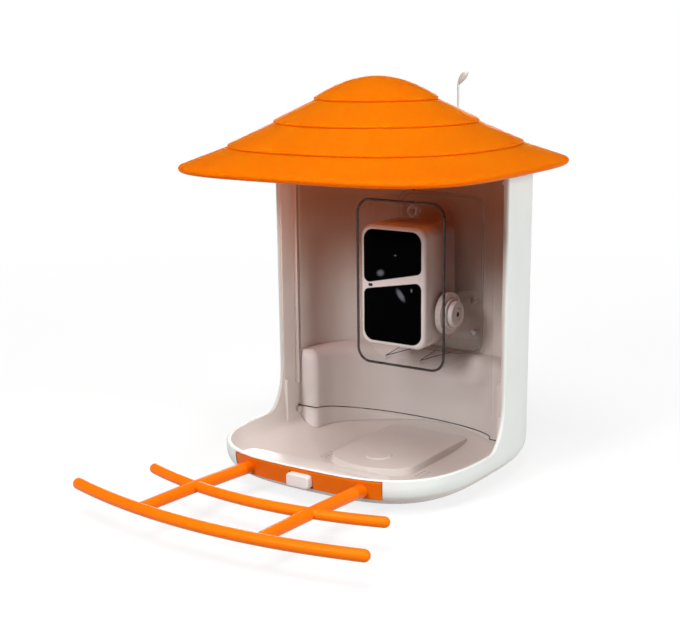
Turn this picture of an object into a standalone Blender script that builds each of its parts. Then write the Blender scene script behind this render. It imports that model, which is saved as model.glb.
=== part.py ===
# Smart bird feeder: a square-round tub with a stepped roof, a seed hopper behind a clear panel,
# a camera in the panel's pocket and a pull-off perch.
# Metres, +Z up, +Y towards the back. Sizes are worked in a frame whose origin lies under the
# tub's middle; the empty named feeder moves that frame so that the world origin lies under
# the middle of the whole length, from the perch's front to the hanger at the back.

import math

import bmesh
import bpy
from mathutils import Vector

for old_object in list(bpy.data.objects):
    bpy.data.objects.remove(old_object, do_unlink=True)

# Shared clearances
gap = 0.0003
overrun = 0.002

# Tub: plan, walls and floor
tub_half = 0.0999
tub_draft = 0.0014
tub_exponent = 3.22
tub_sides = 52
tub_base = 0.0015
tub_top = 0.2365
wall = 0.003
rim_height = 0.0285
floor_height = 0.0038
under_run = 0.0584
under_rise = 0.0236
under_exponent = 2.75
under_steps = 5
pad_width = 0.0183
sweep_depth = 0.020
sweep_rise = 0.036
sweep_steps = 8

# Tub: grooves for the panel, pads and fins inside the side walls
groove_reach = 0.0066
groove_front_lip = 0.0014
groove_back_lip = 0.0024
groove_foot = 0.0045
pad_depth = 0.0005
pad_start = 0.0515
fin_width = 0.002
fin_depth = 0.0025
catch_reach = 0.0016
catch_height = 0.002
catch_drop = 0.018

# Tub: hump in the tray, its disc and the pole socket under it
hump_half = 0.035
hump_back_inset = 0.0219
hump_nose_start = -0.005
hump_nose_length = 0.021
hump_height = 0.005
hump_draft = 0.0015
hump_corner = 0.006
disc_centre = 0.0015
disc_radius = 0.0096
disc_height = 0.0010
pole_insert_radius = 0.0047
pole_insert_length = 0.0058
thread_radius = 0.00255

# Tub: drain holes
drain_radius = 0.0008
drain_pitch = 0.0040
drain_columns = 4
drain_rows = 4
drain_centre_x = 0.0465
drain_centre_y = -0.005

# Tub: box behind the front plate, which takes the perch
latch_box_half = 0.0615
latch_box_depth = 0.0255
latch_box_drop = 0.0012
latch_box_fall = 0.0016
latch_box_corner = 0.008

# Tub: mounting pad, its insert and the hanger's boss at the back
pad_half_width = 0.030
pad_half_height = 0.035
pad_centre_height = 0.110
pad_corner = 0.008
pad_rise = 0.0031
rear_insert_length = 0.0043
boss_half = 0.0045
boss_height = 0.018
boss_base = 0.185
boss_rise = 0.0070

# Clear panel and the camera's pocket
panel_thickness = 0.002
panel_bottom = 0.0265
panel_top = 0.229
panel_setback = 0.0008
panel_flange_inset = 0.0042
panel_arc_inset = 0.0219
panel_arc_depth = 0.0235
panel_arc_steps = 18
panel_arc_start = 12.0
pocket_half_width = 0.0392
pocket_wall = 0.0022
pocket_bottom = 0.0710
pocket_top = 0.1996
pocket_depth = 0.0637
pocket_back_inset = 0.0049
pocket_corner = 0.012
gusset_height = 0.0025
gusset_width = 0.0010
gusset_front_share = 0.17
gusset_back_share = 0.72
gusset_spread_share = 0.17
gusset_centre_shares = (-0.49, 0.30)

# Seed chute: the thick foot of the hopper
chute_top = 0.073
chute_shoulder = 0.0199
chute_back_wall = 0.0099
chute_corner = 0.006
chute_round = 0.005
chute_arc_steps = 14

# Roof: ring sizes, from the crown to the brim
crown_height = 0.2923
brim_overhang = 0.0203
ring_shares = (0.3686, 0.6115, 0.8236, 1.0)
ring_exponents = (2.0, 2.0, 2.55, 3.7)
ring_heights = (0.2775, 0.2618, 0.2455, 0.2322)
crown_steps = 4
crown_exponent = 1.9
tier_lip_drop = 0.0019
tier_lip_in = 0.0012
brim_radius = 0.0024
brim_steps = 3
roof_thickness = 0.0026
roof_sides = 48
seat_rail_thickness = 0.0022
seat_rail_start = 0.020
seat_bite_share = 0.5

# Roof hinge
hinge_stand = 0.0056
hinge_z = 0.2290
knuckle_radius = 0.0034
knuckle_width = 0.0074
lug_width = 0.004
hinge_spread = 0.040
hinge_pin_radius = 0.0015
hinge_pin_head = 0.0024
hinge_pin_head_length = 0.001

# Rear hanger: a thin wire with a flattened tip
hanger_x = -0.003
hanger_clearance = 0.0043
hanger_radius = 0.0009
hanger_bend_height = 0.2075
hanger_bend_radius = 0.006
leaf_base = 0.2795
leaf_top = 0.2905
leaf_width = 0.0095
leaf_thickness = 0.0012

# Perch: front plate, arms and bars
plate_half = 0.0626
plate_bottom = 0.0137
plate_top = 0.0270
plate_thickness = 0.003
plate_lean = 0.0016
plate_taper = 0.0011
arm_root_x = 0.0475
arm_tip_x = 0.0484
arm_root_z = 0.0194
arm_radius = 0.0046
arm_flare_radius = 0.0051
arm_flare_length = 0.0045
outer_bar_half = 0.1166
outer_bar_reach = 0.1131
outer_bar_bow = 0.0165
outer_bar_z = 0.0233
outer_bar_radius = 0.0040
inner_bar_half = 0.0962
inner_bar_reach = 0.0583
inner_bar_bow = 0.0162
inner_bar_z = 0.0221
inner_bar_radius = 0.0037
bar_steps = 12
round_sides = 10
tongue_half = 0.004
tongue_height = 0.006
tongue_length = 0.0150
tongue_x = 0.040
cage_half = 0.0130
cage_half_height = 0.0032
cage_wall = 0.0014
cage_length = 0.0135

# Perch button and its spring
button_half = 0.0095
button_bottom = 0.0147
button_top = 0.0242
button_proud = 0.0042
button_edge = 0.0012
button_stem_half = 0.0060
button_stem_height = 0.0056
button_stem_length = 0.0040
button_ear_half = 0.0111
button_ear_length = 0.0015
spring_radius = 0.0021
spring_wire = 0.0003
spring_turns = 5

# Camera: case, windows and inner pieces
camera_left = -0.0365
camera_right = 0.0215
camera_bottom = 0.0858
camera_top = 0.1794
camera_setback = 0.0017
camera_split_depth = 0.0100
camera_depth = 0.0510
camera_corner = 0.009
camera_front_edge = 0.003
camera_back_edge = 0.008
camera_wall = 0.002
window_margin = 0.0034
window_depth = 0.0012
window_corner = 0.0085
band_corner = 0.0048
band_left_low = 0.1291
band_right_low = 0.1380
band_left_high = 0.1338
band_right_high = 0.1446
seal_thickness = 0.0008
seal_width = 0.0012
lens_radius = 0.0085
lens_z = 0.1585
lens_x = -0.0070
lens_length = 0.0080
sensor_radius = 0.0075
sensor_z = 0.1120
sensor_length = 0.0060
light_radius = 0.0022
light_spread = 0.0150
light_z = 0.1200
status_radius = 0.0013
status_x = 0.0114
status_z = 0.1322
mic_half = 0.0019
mic_height = 0.0012
mic_x = -0.0272
mic_z = 0.1312
board_thickness = 0.0016
board_margin = 0.0035
board_setback = 0.0025
cell_radius = 0.0090
cell_length = 0.065
cell_bottom = 0.0935
cell_setback = 0.0270
cell_pitch = 0.0188
holder_thickness = 0.0014
speaker_radius = 0.0075
speaker_length = 0.0040
speaker_z = 0.1688
charge_cover_half = 0.0060
charge_cover_height = 0.0035
charge_cover_depth = 0.0016
charge_cover_setback = 0.0310

# Camera bracket, friction pivot and knob
pivot_setback = 0.0255
pivot_z = 0.1115
side_disc_radius = 0.0112
side_disc_rise = 0.0015
washer_radius = 0.0095
washer_thickness = 0.0008
bracket_thickness = 0.0046
bracket_radius = 0.0162
bracket_foot_width = 0.0120
bracket_foot_thickness = 0.0035
bracket_foot_bottom = 0.0840
bracket_foot_top = 0.1240
knob_flange_radius = 0.0117
knob_flange_length = 0.0018
knob_radius = 0.0100
knob_length = 0.0045
knob_edge = 0.0010
pivot_screw_radius = 0.0025
pivot_screw_reach = 0.0045
pivot_head_radius = 0.0042
pivot_head_length = 0.0030
hex_radius = 0.0020
hex_depth = 0.0018
bracket_screw_radius = 0.0014
bracket_screw_head = 0.0028
bracket_screw_head_length = 0.0014
bracket_screw_inset = 0.0075

# Sizes that follow from the ones above
tub_top_half = tub_half + tub_draft
plate_back = plate_thickness + plate_lean - tub_half
hump_top = floor_height + hump_height
hump_back = tub_half - hump_back_inset
pocket_back = tub_half - pocket_back_inset
pocket_front = pocket_back - pocket_depth
panel_flange_y = pocket_front - panel_setback
panel_flange_end = tub_half - panel_flange_inset
panel_arc_half = tub_half - panel_arc_inset
wall_front = panel_flange_y - pad_width
chute_front = panel_flange_y + panel_thickness / 2 + gap * 1.5
chute_mouth_start = chute_front + chute_corner
chute_mouth_half = tub_half - chute_shoulder
chute_mouth_depth = tub_half - chute_back_wall - chute_mouth_start
brim_half = tub_half + brim_overhang
ring_halves = tuple(brim_half * share for share in ring_shares)
hinge_y = tub_half + hinge_stand
hanger_stand = brim_half + hanger_clearance
outer_bar_y = tub_half + outer_bar_reach
inner_bar_y = tub_half + inner_bar_reach
camera_front = pocket_front + camera_setback
camera_split = camera_front + camera_split_depth
camera_back = camera_front + camera_depth
board_y = camera_split + board_setback
cell_y = camera_front + cell_setback
charge_cover_y = camera_front + charge_cover_setback
pivot_y = camera_front + pivot_setback
camera_middle_x = (camera_left + camera_right) / 2
side_disc_face = camera_right + side_disc_rise
washer_start = side_disc_face + gap
bracket_start = washer_start + washer_thickness + gap
bracket_end = bracket_start + bracket_thickness
knob_start = bracket_end + gap
knob_end = knob_start + knob_flange_length + knob_length
pocket_back_inside = pocket_back - pocket_wall
bracket_foot_back = pocket_back_inside - gap
front_reach = outer_bar_y + outer_bar_radius
back_reach = hanger_stand + hanger_radius
middle_shift = (front_reach - back_reach) / 2
sides = (("left", -1), ("right", 1))

feeder = bpy.data.objects.new("feeder", None)
bpy.context.scene.collection.objects.link(feeder)
feeder.location = (0, middle_shift, -tub_base)


# Materials

def make_material(name, colour, roughness, metallic=0.0, alpha=1.0):
    material = bpy.data.materials.new(name)
    material.use_nodes = True
    shader = material.node_tree.nodes["Principled BSDF"]
    shader.inputs["Base Color"].default_value = (*colour, 1.0)
    shader.inputs["Roughness"].default_value = roughness
    shader.inputs["Metallic"].default_value = metallic
    shader.inputs["Alpha"].default_value = alpha
    material.diffuse_color = (*colour, alpha)
    return material


# Outlines: lists of two-number points, counter-clockwise

def superellipse(half_x, half_y, exponent, count):
    """Points where |x/a|^n + |y/b|^n = 1, at even polar angles."""
    points = []
    for step in range(count):
        angle = math.tau * step / count
        across, along = math.cos(angle), math.sin(angle)
        reach = (abs(across) ** exponent + abs(along) ** exponent) ** (-1 / exponent)
        points.append((half_x * reach * across, half_y * reach * along))
    return points


def rounded_rectangle(low, high, radius, steps=5):
    corners = (
        (high[0] - radius, high[1] - radius, 0),
        (low[0] + radius, high[1] - radius, 1),
        (low[0] + radius, low[1] + radius, 2),
        (high[0] - radius, low[1] + radius, 3),
    )
    points = []
    for centre_x, centre_y, quarter in corners:
        for step in range(steps + 1):
            angle = math.pi / 2 * (quarter + step / steps)
            points.append((centre_x + radius * math.cos(angle), centre_y + radius * math.sin(angle)))
    return points


def arc(centre, radius, start, end, steps):
    """Points on a circle, or on an ellipse when the radius is a pair; angles in degrees."""
    radius_x, radius_y = radius if isinstance(radius, tuple) else (radius, radius)
    points = []
    for step in range(steps + 1):
        angle = math.radians(start + (end - start) * step / steps)
        points.append((centre[0] + radius_x * math.cos(angle), centre[1] + radius_y * math.sin(angle)))
    return points


def ribbon(points, thickness):
    """Outline of a strip of even thickness along an open line of points."""
    left, right = [], []
    for index, point in enumerate(points):
        before = points[max(index - 1, 0)]
        after = points[min(index + 1, len(points) - 1)]
        along = Vector((after[0] - before[0], after[1] - before[1])).normalized()
        across = Vector((-along.y, along.x)) * thickness / 2
        left.append((point[0] + across.x, point[1] + across.y))
        right.append((point[0] - across.x, point[1] - across.y))
    return left + right[::-1]


# Solids, all built at the world origin's frame and closed

def solid(vertices, faces, name="tool"):
    mesh = bpy.data.meshes.new(name)
    mesh.from_pydata([tuple(vertex) for vertex in vertices], [], faces)
    shape = bmesh.new()
    shape.from_mesh(mesh)
    bmesh.ops.recalc_face_normals(shape, faces=shape.faces[:])
    shape.to_mesh(mesh)
    shape.free()
    made = bpy.data.objects.new(name, mesh)
    bpy.context.scene.collection.objects.link(made)
    return made


def loft(rings, name="tool"):
    """Skin through rings of equal point counts; a ring of one point closes as a pole."""
    vertices, starts = [], []
    for ring in rings:
        starts.append(len(vertices))
        vertices.extend(ring)
    faces = []
    for lower in range(len(rings) - 1):
        ring, following = rings[lower], rings[lower + 1]
        start, start_next = starts[lower], starts[lower + 1]
        count = max(len(ring), len(following))
        for index in range(count):
            other = (index + 1) % count
            if len(ring) == 1:
                faces.append((start, start_next + other, start_next + index))
            elif len(following) == 1:
                faces.append((start + index, start + other, start_next))
            else:
                faces.append((start + index, start + other, start_next + other, start_next + index))
    if len(rings[0]) > 1:
        faces.append(tuple(range(starts[0], starts[0] + len(rings[0])))[::-1])
    if len(rings[-1]) > 1:
        faces.append(tuple(range(starts[-1], starts[-1] + len(rings[-1]))))
    return solid(vertices, faces, name)


def place(point, axis, along):
    """A flat point and a distance along an axis become a point in space."""
    if axis == "x":
        return (along, point[0], point[1])
    if axis == "y":
        return (point[0], along, point[1])
    return (point[0], point[1], along)


def prism(outline, axis, low, high, name="tool"):
    return loft([[place(point, axis, low) for point in outline],
                 [place(point, axis, high) for point in outline]], name)


def box(low, high, name="tool"):
    outline = ((low[0], low[1]), (high[0], low[1]), (high[0], high[1]), (low[0], high[1]))
    return prism(outline, "z", low[2], high[2], name)


def turned(profile, axis, centre, sides, name="tool"):
    """Round piece: the profile lists (distance along the axis, radius)."""
    rings = []
    for along, radius in profile:
        if radius == 0:
            rings.append([place(centre, axis, along)])
        else:
            circle = [(centre[0] + radius * math.cos(math.tau * step / sides),
                       centre[1] + radius * math.sin(math.tau * step / sides)) for step in range(sides)]
            rings.append([place(point, axis, along) for point in circle])
    return loft(rings, name)


def tube(points, radii, sides, name="tool", round_ends=False):
    """Round bar along a line of points, with a radius for each point."""
    centres = [Vector(point) for point in points]
    radii = list(radii)
    if round_ends:
        cap_shares = ((1.0, 0.0), (0.8, 0.6), (0.4, 0.917))
        first = (centres[0] - centres[1]).normalized() * radii[0]
        last = (centres[-1] - centres[-2]).normalized() * radii[-1]
        front = [(centres[0] + first * reach, radii[0] * width) for reach, width in cap_shares]
        back = [(centres[-1] + last * reach, radii[-1] * width) for reach, width in cap_shares[::-1]]
        chain = front + list(zip(centres, radii)) + back
        centres = [centre for centre, radius in chain]
        radii = [radius for centre, radius in chain]
    rings = []
    for index, (centre, radius) in enumerate(zip(centres, radii)):
        if radius == 0:
            rings.append([tuple(centre)])
            continue
        before = centres[max(index - 1, 0)]
        after = centres[min(index + 1, len(centres) - 1)]
        along = (after - before).normalized()
        upright = Vector((0, 0, 1)) if abs(along.z) < 0.9 else Vector((1, 0, 0))
        across = along.cross(upright).normalized()
        other = across.cross(along)
        ring = []
        for step in range(sides):
            angle = math.tau * step / sides
            ring.append(tuple(centre + (across * math.cos(angle) + other * math.sin(angle)) * radius))
        rings.append(ring)
    return loft(rings, name)


def combine(target, tool, operation):
    """Exact Boolean of two solids; the tool is used up."""
    modifier = target.modifiers.new("combine", "BOOLEAN")
    modifier.operation = operation
    modifier.object = tool
    modifier.solver = "EXACT"
    bpy.context.view_layer.update()
    evaluated = target.evaluated_get(bpy.context.evaluated_depsgraph_get())
    mesh = bpy.data.meshes.new_from_object(evaluated)
    target.modifiers.clear()
    target.data = mesh
    bpy.data.objects.remove(tool, do_unlink=True)
    return target


def add(target, *tools):
    for tool in tools:
        combine(target, tool, "UNION")
    return target


def cut(target, *tools):
    for tool in tools:
        combine(target, tool, "DIFFERENCE")
    return target


def gather(solids):
    """Separate cutters that never touch, kept as one tool."""
    first = solids[0]
    shape = bmesh.new()
    for item in solids:
        shape.from_mesh(item.data)
    shape.to_mesh(first.data)
    shape.free()
    for item in solids[1:]:
        bpy.data.objects.remove(item, do_unlink=True)
    return first


def finish(made, name, material, origin=(0, 0, 0), parent=None):
    """Name, material, smooth round faces, and the origin moved to the joint's axis."""
    made.name = name
    made.data.name = name
    made.data.materials.clear()
    made.data.materials.append(material)
    shift = Vector(origin)
    for vertex in made.data.vertices:
        vertex.co -= shift
    made.data.shade_smooth()
    made.data.set_sharp_from_angle(angle=math.radians(35))
    made.location = shift
    made.parent = parent or feeder
    return made


# Tub

def plan_reach(x, half):
    """How far the tub's plan reaches forward or back of its middle at a given x."""
    return half * (1 - abs(x / half) ** tub_exponent) ** (1 / tub_exponent)


def half_at(height):
    """Half size of the tub's outside at a height: drafted wall over a rounded foot."""
    foot_top = tub_base + under_rise
    drafted = tub_half + (tub_top_half - tub_half) * (height - foot_top) / (tub_top - foot_top)
    if height >= foot_top:
        return drafted
    fall = (foot_top - height) / under_rise
    return tub_half - under_run * (1 - (1 - fall ** under_exponent) ** (1 / under_exponent))


def tub_ring(half, height):
    return [(x, y, height) for x, y in superellipse(half, half, tub_exponent, tub_sides)]


def tub_rings(inset, base, top):
    """Rings of the tub's shape, moved in by an inset and with its foot at a given height."""
    rings = []
    foot_half = half_at(base + under_rise) - inset
    for step in range(under_steps + 1):
        angle = math.pi / 2 * step / under_steps
        across = math.sin(angle) ** (2 / under_exponent)
        up = 1 - math.cos(angle) ** (2 / under_exponent)
        rings.append(tub_ring(foot_half - under_run * (1 - across), base + under_rise * up))
    rings.append(tub_ring(half_at(top) - inset, top))
    return rings


def tub_core():
    """Solid whose surface runs inside the tub's walls and floor."""
    return loft(tub_rings(wall / 2, (tub_base + floor_height) / 2, tub_top))


def sweep_cut():
    """Everything in front of the side walls and over the rim, with the swept corner."""
    start_y = wall_front - sweep_depth
    corner = arc((start_y, rim_height + sweep_rise), (sweep_depth, sweep_rise), -90, 0, sweep_steps)
    far = -tub_top_half - overrun
    high = tub_top + overrun
    outline = [(far, rim_height)] + corner + [(wall_front, high), (far, high)]
    return prism(outline, "x", far, -far)


def side_fittings(side):
    """Groove lips, ledge, pad, fin and roof catch, all rooted in one side wall."""
    outside = side * (tub_top_half + overrun)
    lip_inside = side * (tub_half - groove_reach)
    pad_inside = side * (tub_half - wall - pad_depth)
    front = panel_flange_y - panel_thickness / 2 - gap - groove_front_lip
    back = panel_flange_y + panel_thickness / 2 + gap + groove_back_lip
    ledge_top = panel_bottom - gap
    catch_z = tub_top - catch_drop
    corners = (
        ((lip_inside, front, pad_start), (outside, panel_flange_y, tub_top)),
        ((lip_inside, panel_flange_y - gap, chute_top + gap), (outside, back, tub_top)),
        ((lip_inside, front, ledge_top - groove_foot), (outside, chute_front - gap, ledge_top)),
        ((pad_inside, wall_front + gap, pad_start), (outside, front + gap, tub_top)),
        ((pad_inside - side * fin_depth, wall_front + gap, tub_base),
         (outside, wall_front + gap + fin_width, pad_start + gap)),
        ((pad_inside - side * catch_reach, wall_front + fin_width / 2, catch_z),
         (outside, front + gap, catch_z + catch_height)),
    )
    return [combine(box_between(one, other), tub_core(), "INTERSECT") for one, other in corners]


def box_between(one, other):
    low = [min(a, b) for a, b in zip(one, other)]
    high = [max(a, b) for a, b in zip(one, other)]
    return box(low, high)


def groove_slot(side):
    inside = side * (tub_half - groove_reach - overrun)
    outside = side * (panel_flange_end + gap)
    half = panel_thickness / 2 + gap
    return box_between((inside, panel_flange_y - half, panel_bottom - gap),
                       (outside, panel_flange_y + half, tub_top + overrun))


def hump_outline(grow):
    half = hump_half + grow
    nose = hump_nose_length + grow
    back = hump_back + grow
    points = arc((0, hump_nose_start), (half, nose), 180, 360, 12)
    points += arc((half - hump_corner, back - hump_corner), hump_corner, 0, 90, 3)
    points += arc((hump_corner - half, back - hump_corner), hump_corner, 90, 180, 3)
    return points


def hump():
    base = (tub_base + floor_height) / 2
    rings = [[(x, y, base) for x, y in hump_outline(hump_draft)],
             [(x, y, hump_top - hump_draft / 2) for x, y in hump_outline(hump_draft / 2)],
             [(x, y, hump_top) for x, y in hump_outline(0)]]
    return loft(rings)


def disc():
    base = hump_top - disc_height
    top = hump_top + disc_height
    profile = [(base, disc_radius + disc_height / 2), (hump_top, disc_radius + disc_height / 2),
               (top - disc_height / 4, disc_radius), (top, disc_radius - disc_height / 2)]
    return turned(profile, "z", (0, disc_centre), 24)


def drain_holes():
    holes = []
    for side in (-1, 1):
        for column in range(drain_columns):
            for row in range(drain_rows):
                x = side * drain_centre_x + (column - (drain_columns - 1) / 2) * drain_pitch
                y = drain_centre_y + (row - (drain_rows - 1) / 2) * drain_pitch
                profile = [(-overrun, drain_radius), (hump_top + overrun, drain_radius)]
                holes.append(turned(profile, "z", (x, y), 6))
    return gather(holes)


def latch_box():
    """Raised box behind the front wall, with a gently falling top and round back corners."""
    back = latch_box_depth - tub_half
    top = rim_height - latch_box_drop
    profile = [(-tub_half, 0), (back, 0), (back, top - latch_box_fall), (-tub_half, top)]
    block = prism(profile, "x", -latch_box_half, latch_box_half)
    plan = rounded_rectangle((-latch_box_half, -tub_half - latch_box_corner), (latch_box_half, back),
                             latch_box_corner, 4)
    combine(block, prism(plan, "z", -overrun, top + overrun), "INTERSECT")
    return combine(block, tub_core(), "INTERSECT")


def front_strip(thickness, half, bottom, top, proud=0.0):
    """Curved strip along the front of the tub's plan, leaning back and narrower at its foot."""
    count = 12
    rings = []
    for height in (bottom, top):
        lean = plate_lean * plate_fall(height)
        end = half - plate_taper * plate_fall(height)
        across = [-end + 2 * end * step / count for step in range(count + 1)]
        outer = [(x, lean - plan_reach(x, tub_half + proud), height) for x in across]
        inner = [(x, lean - plan_reach(x, tub_half - thickness), height) for x in across]
        rings.append(outer + inner[::-1])
    return loft(rings)


def plate_fall(height):
    """How far down the plate a height lies, as a share of the plate."""
    return (plate_top - height) / (plate_top - plate_bottom)


def plate_core():
    """Leaning solid whose front runs inside the perch's plate, half way through it."""
    half = tub_half - plate_thickness / 2
    outline = superellipse(half, half, tub_exponent, tub_sides)
    return loft([[(x, y + plate_lean * plate_fall(height), height) for x, y in outline]
                 for height in (plate_bottom, plate_top)])


def perch_sockets():
    """Recess for the plate, two slots for its tongues and a bay for the button's cage."""
    recess = front_strip(plate_thickness + gap, plate_half + gap, plate_bottom - gap, plate_top + gap,
                         overrun)
    front = -tub_half
    slots = []
    for side in (-1, 1):
        centre = side * tongue_x
        half = tongue_half + gap
        slots.append(box((centre - half, front, arm_root_z - tongue_height / 2 - gap),
                         (centre + half, plate_back + tongue_length + 2 * gap,
                          arm_root_z + tongue_height / 2 + gap)))
    bay = box((-cage_half - gap, front, button_bottom - gap),
              (cage_half + gap, plate_back + cage_length + 2 * gap, button_top + gap))
    return [recess, *slots, bay]


def rear_pad():
    low = (-pad_half_width, pad_centre_height - pad_half_height)
    high = (pad_half_width, pad_centre_height + pad_half_height)
    root = half_at(high[1]) - wall * 0.9
    return prism(rounded_rectangle(low, high, pad_corner), "y", root, tub_half + pad_rise)


def hanger_boss():
    low = (hanger_x - boss_half, half_at(boss_base + boss_height) - wall * 0.9, boss_base)
    high = (hanger_x + boss_half, tub_half + boss_rise, boss_base + boss_height)
    return box(low, high)


def hanger_foot_y():
    return tub_half + boss_rise - boss_half * 0.7


def hinge_lugs():
    """Two pairs of ears on the back wall, round about the hinge line."""
    lugs = []
    inside = knuckle_width / 2 + gap
    for centre in (-hinge_spread, hinge_spread):
        for side in (-1, 1):
            near = centre + side * inside
            far = centre + side * (inside + lug_width)
            root = plan_reach(abs(centre) + inside + lug_width, tub_top_half) - wall / 2
            outline = arc((hinge_y, hinge_z), knuckle_radius, -70, 90, 8)
            outline += [(root, hinge_z + knuckle_radius * 0.8), (root, hinge_z - knuckle_radius * 2.4)]
            lugs.append(prism(outline, "x", min(near, far), max(near, far)))
    return lugs


def hinge_bores(radius):
    reach = hinge_spread + knuckle_width + lug_width * 2
    return turned([(-reach, radius), (reach, radius)], "x", (hinge_y, hinge_z), 12)


def build_tub():
    tub = loft(tub_rings(0, tub_base, tub_top))
    cut(tub, loft(tub_rings(wall, floor_height, tub_top + overrun)), sweep_cut())
    add(tub, latch_box(), hump(), disc(), rear_pad(), hanger_boss(), *hinge_lugs())
    for side in (-1, 1):
        add(tub, *side_fittings(side))
        cut(tub, groove_slot(side))
    cut(tub, *perch_sockets())
    cut(tub, drain_holes(), hinge_bores(hinge_pin_radius + gap))
    pole_bore = [(tub_base - overrun, pole_insert_radius + gap),
                 (tub_base + pole_insert_length + 2 * gap, pole_insert_radius + gap)]
    cut(tub, turned(pole_bore, "z", (0, disc_centre), 24))
    pad_face = tub_half + pad_rise
    rear_bore = [(pad_face - rear_insert_length - 2 * gap, pole_insert_radius + gap),
                 (pad_face + overrun, pole_insert_radius + gap)]
    cut(tub, turned(rear_bore, "y", (0, pad_centre_height), 24))
    wire_bore = [(boss_base + gap * 2, hanger_radius + gap),
                 (boss_base + boss_height + overrun, hanger_radius + gap)]
    cut(tub, turned(wire_bore, "z", (hanger_x, hanger_foot_y()), 10))
    return finish(tub, "tub", white_shell)


def threaded_ring(axis, centre, low, high):
    ring = turned([(low, pole_insert_radius), (high, pole_insert_radius)], axis, centre, 24)
    bore = [(low - overrun, thread_radius), (high + overrun, thread_radius)]
    return cut(ring, turned(bore, axis, centre, 16))


def build_inserts():
    low = tub_base + gap
    pole = threaded_ring("z", (0, disc_centre), low, low + pole_insert_length)
    finish(pole, "pole_socket_insert", brass)
    face = tub_half + pad_rise
    rear = threaded_ring("y", (0, pad_centre_height), face - rear_insert_length - gap, face - gap)
    finish(rear, "rear_socket_insert", brass)


# Seed chute

def chute_mouth(grow):
    """Plan of what the chute leaves open: the curved mouth and everything in front."""
    half = chute_mouth_half + grow
    corner = chute_corner - grow
    turn = chute_mouth_half + chute_corner
    far = tub_top_half + overrun
    front = chute_front + grow
    points = [(-far, -far), (far, -far), (far, front)]
    points += arc((turn, chute_mouth_start), corner, 270, 180, 3)
    points += arc((0, chute_mouth_start), (half, chute_mouth_depth + grow), 0, 180, chute_arc_steps)[1:-1]
    points += arc((-turn, chute_mouth_start), corner, 0, -90, 3)
    points += [(-far, front)]
    return points


def build_chute():
    chute = loft(tub_rings(wall + gap, floor_height + gap, chute_top))
    mouth = [[(x, y, -overrun) for x, y in chute_mouth(0)]]
    for step in range(4):
        angle = math.pi / 2 * step / 3
        grow = chute_round * (1 - math.cos(angle)) * 0.98
        height = chute_top - chute_round * (1 - math.sin(angle))
        mouth.append([(x, y, height) for x, y in chute_mouth(grow)])
    mouth.append([(x, y, chute_top + overrun) for x, y in chute_mouth(chute_round * 0.98)])
    cut(chute, loft(mouth))
    notch_half = pocket_half_width + 2 * gap
    cut(chute, box((-notch_half, 0, pocket_bottom - 2 * gap), (notch_half, tub_half, chute_top + overrun)))
    return finish(chute, "seed_chute", warm_white)


# Clear panel with the camera's pocket

def panel_line():
    """Plan of the panel: a flat flange at each end and a bowed middle."""
    middle = arc((0, panel_flange_y), (panel_arc_half, panel_arc_depth), panel_arc_start,
                 180 - panel_arc_start, panel_arc_steps)
    knee = panel_arc_half + panel_thickness
    ends = [(panel_flange_end, panel_flange_y), (knee, panel_flange_y)]
    return ends + middle + [(-x, y) for x, y in ends[::-1]]


def pocket_outline(inset):
    low = (-pocket_half_width + inset, pocket_bottom + inset)
    high = (pocket_half_width - inset, pocket_top - inset)
    return rounded_rectangle(low, high, pocket_corner - inset, 6)


def gusset(centre_share):
    """Low triangular rib on the pocket's floor, pointing to the front."""
    floor = pocket_bottom + pocket_wall
    depth = pocket_back - pocket_front
    centre = centre_share * pocket_half_width
    point_y = pocket_front + gusset_front_share * depth
    back_y = pocket_front + gusset_back_share * depth
    spread = gusset_spread_share * pocket_half_width
    ribs = []
    for side in (-1, 1):
        line = [(centre, point_y), (centre + side * spread, back_y)]
        ribs.append(prism(ribbon(line, gusset_width), "z", floor - pocket_wall / 2, floor + gusset_height))
    return add(ribs[0], ribs[1])


def bracket_screw_places():
    x = bracket_end + bracket_screw_head + 2 * gap
    return ((x, bracket_foot_bottom + bracket_screw_inset), (x, bracket_foot_top - bracket_screw_inset))


def build_panel():
    panel = prism(ribbon(panel_line(), panel_thickness), "z", panel_bottom, panel_top)
    add(panel, prism(pocket_outline(0), "y", pocket_front, pocket_back))
    cut(panel, prism(pocket_outline(pocket_wall), "y", pocket_front - overrun, pocket_back_inside))
    for share in gusset_centre_shares:
        add(panel, gusset(share))
    for place_xz in bracket_screw_places():
        bore = [(pocket_back_inside - overrun, bracket_screw_radius + gap),
                (pocket_back + overrun, bracket_screw_radius + gap)]
        cut(panel, turned(bore, "y", place_xz, 10))
    return finish(panel, "clear_panel", clear_plastic)


# Roof

def roof_ring(half, exponent, height):
    return [(x, y, height) for x, y in superellipse(half, half, exponent, roof_sides)]


def roof_slope():
    """Outer surface as (half size, exponent, height), from beside the crown to the brim."""
    stations = []
    for step in range(1, crown_steps + 1):
        share = step / crown_steps
        fall = (crown_height - ring_heights[0]) * share ** crown_exponent
        stations.append((ring_halves[0] * share, ring_exponents[0], crown_height - fall))
    for tier in range(len(ring_halves)):
        half, exponent, height = ring_halves[tier], ring_exponents[tier], ring_heights[tier]
        if tier == len(ring_halves) - 1:
            break
        stations.append((half + tier_lip_in / 3, exponent, height - tier_lip_drop / 3))
        stations.append((half, exponent, height - tier_lip_drop * 2 / 3))
        stations.append((half - tier_lip_in, exponent, height - tier_lip_drop))
        stations.append((ring_halves[tier + 1], ring_exponents[tier + 1], ring_heights[tier + 1]))
    return stations


def brim_edge():
    """Rounded edge of the brim, from its top to its underside."""
    half, exponent, height = ring_halves[-1], ring_exponents[-1], ring_heights[-1]
    stations = []
    for step in range(1, brim_steps + 1):
        angle = math.radians(60 - 150 * step / brim_steps)
        stations.append((half + brim_radius * math.cos(angle) - brim_radius / 2, exponent,
                         height - brim_radius * 0.866 + brim_radius * math.sin(angle)))
    return stations


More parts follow.
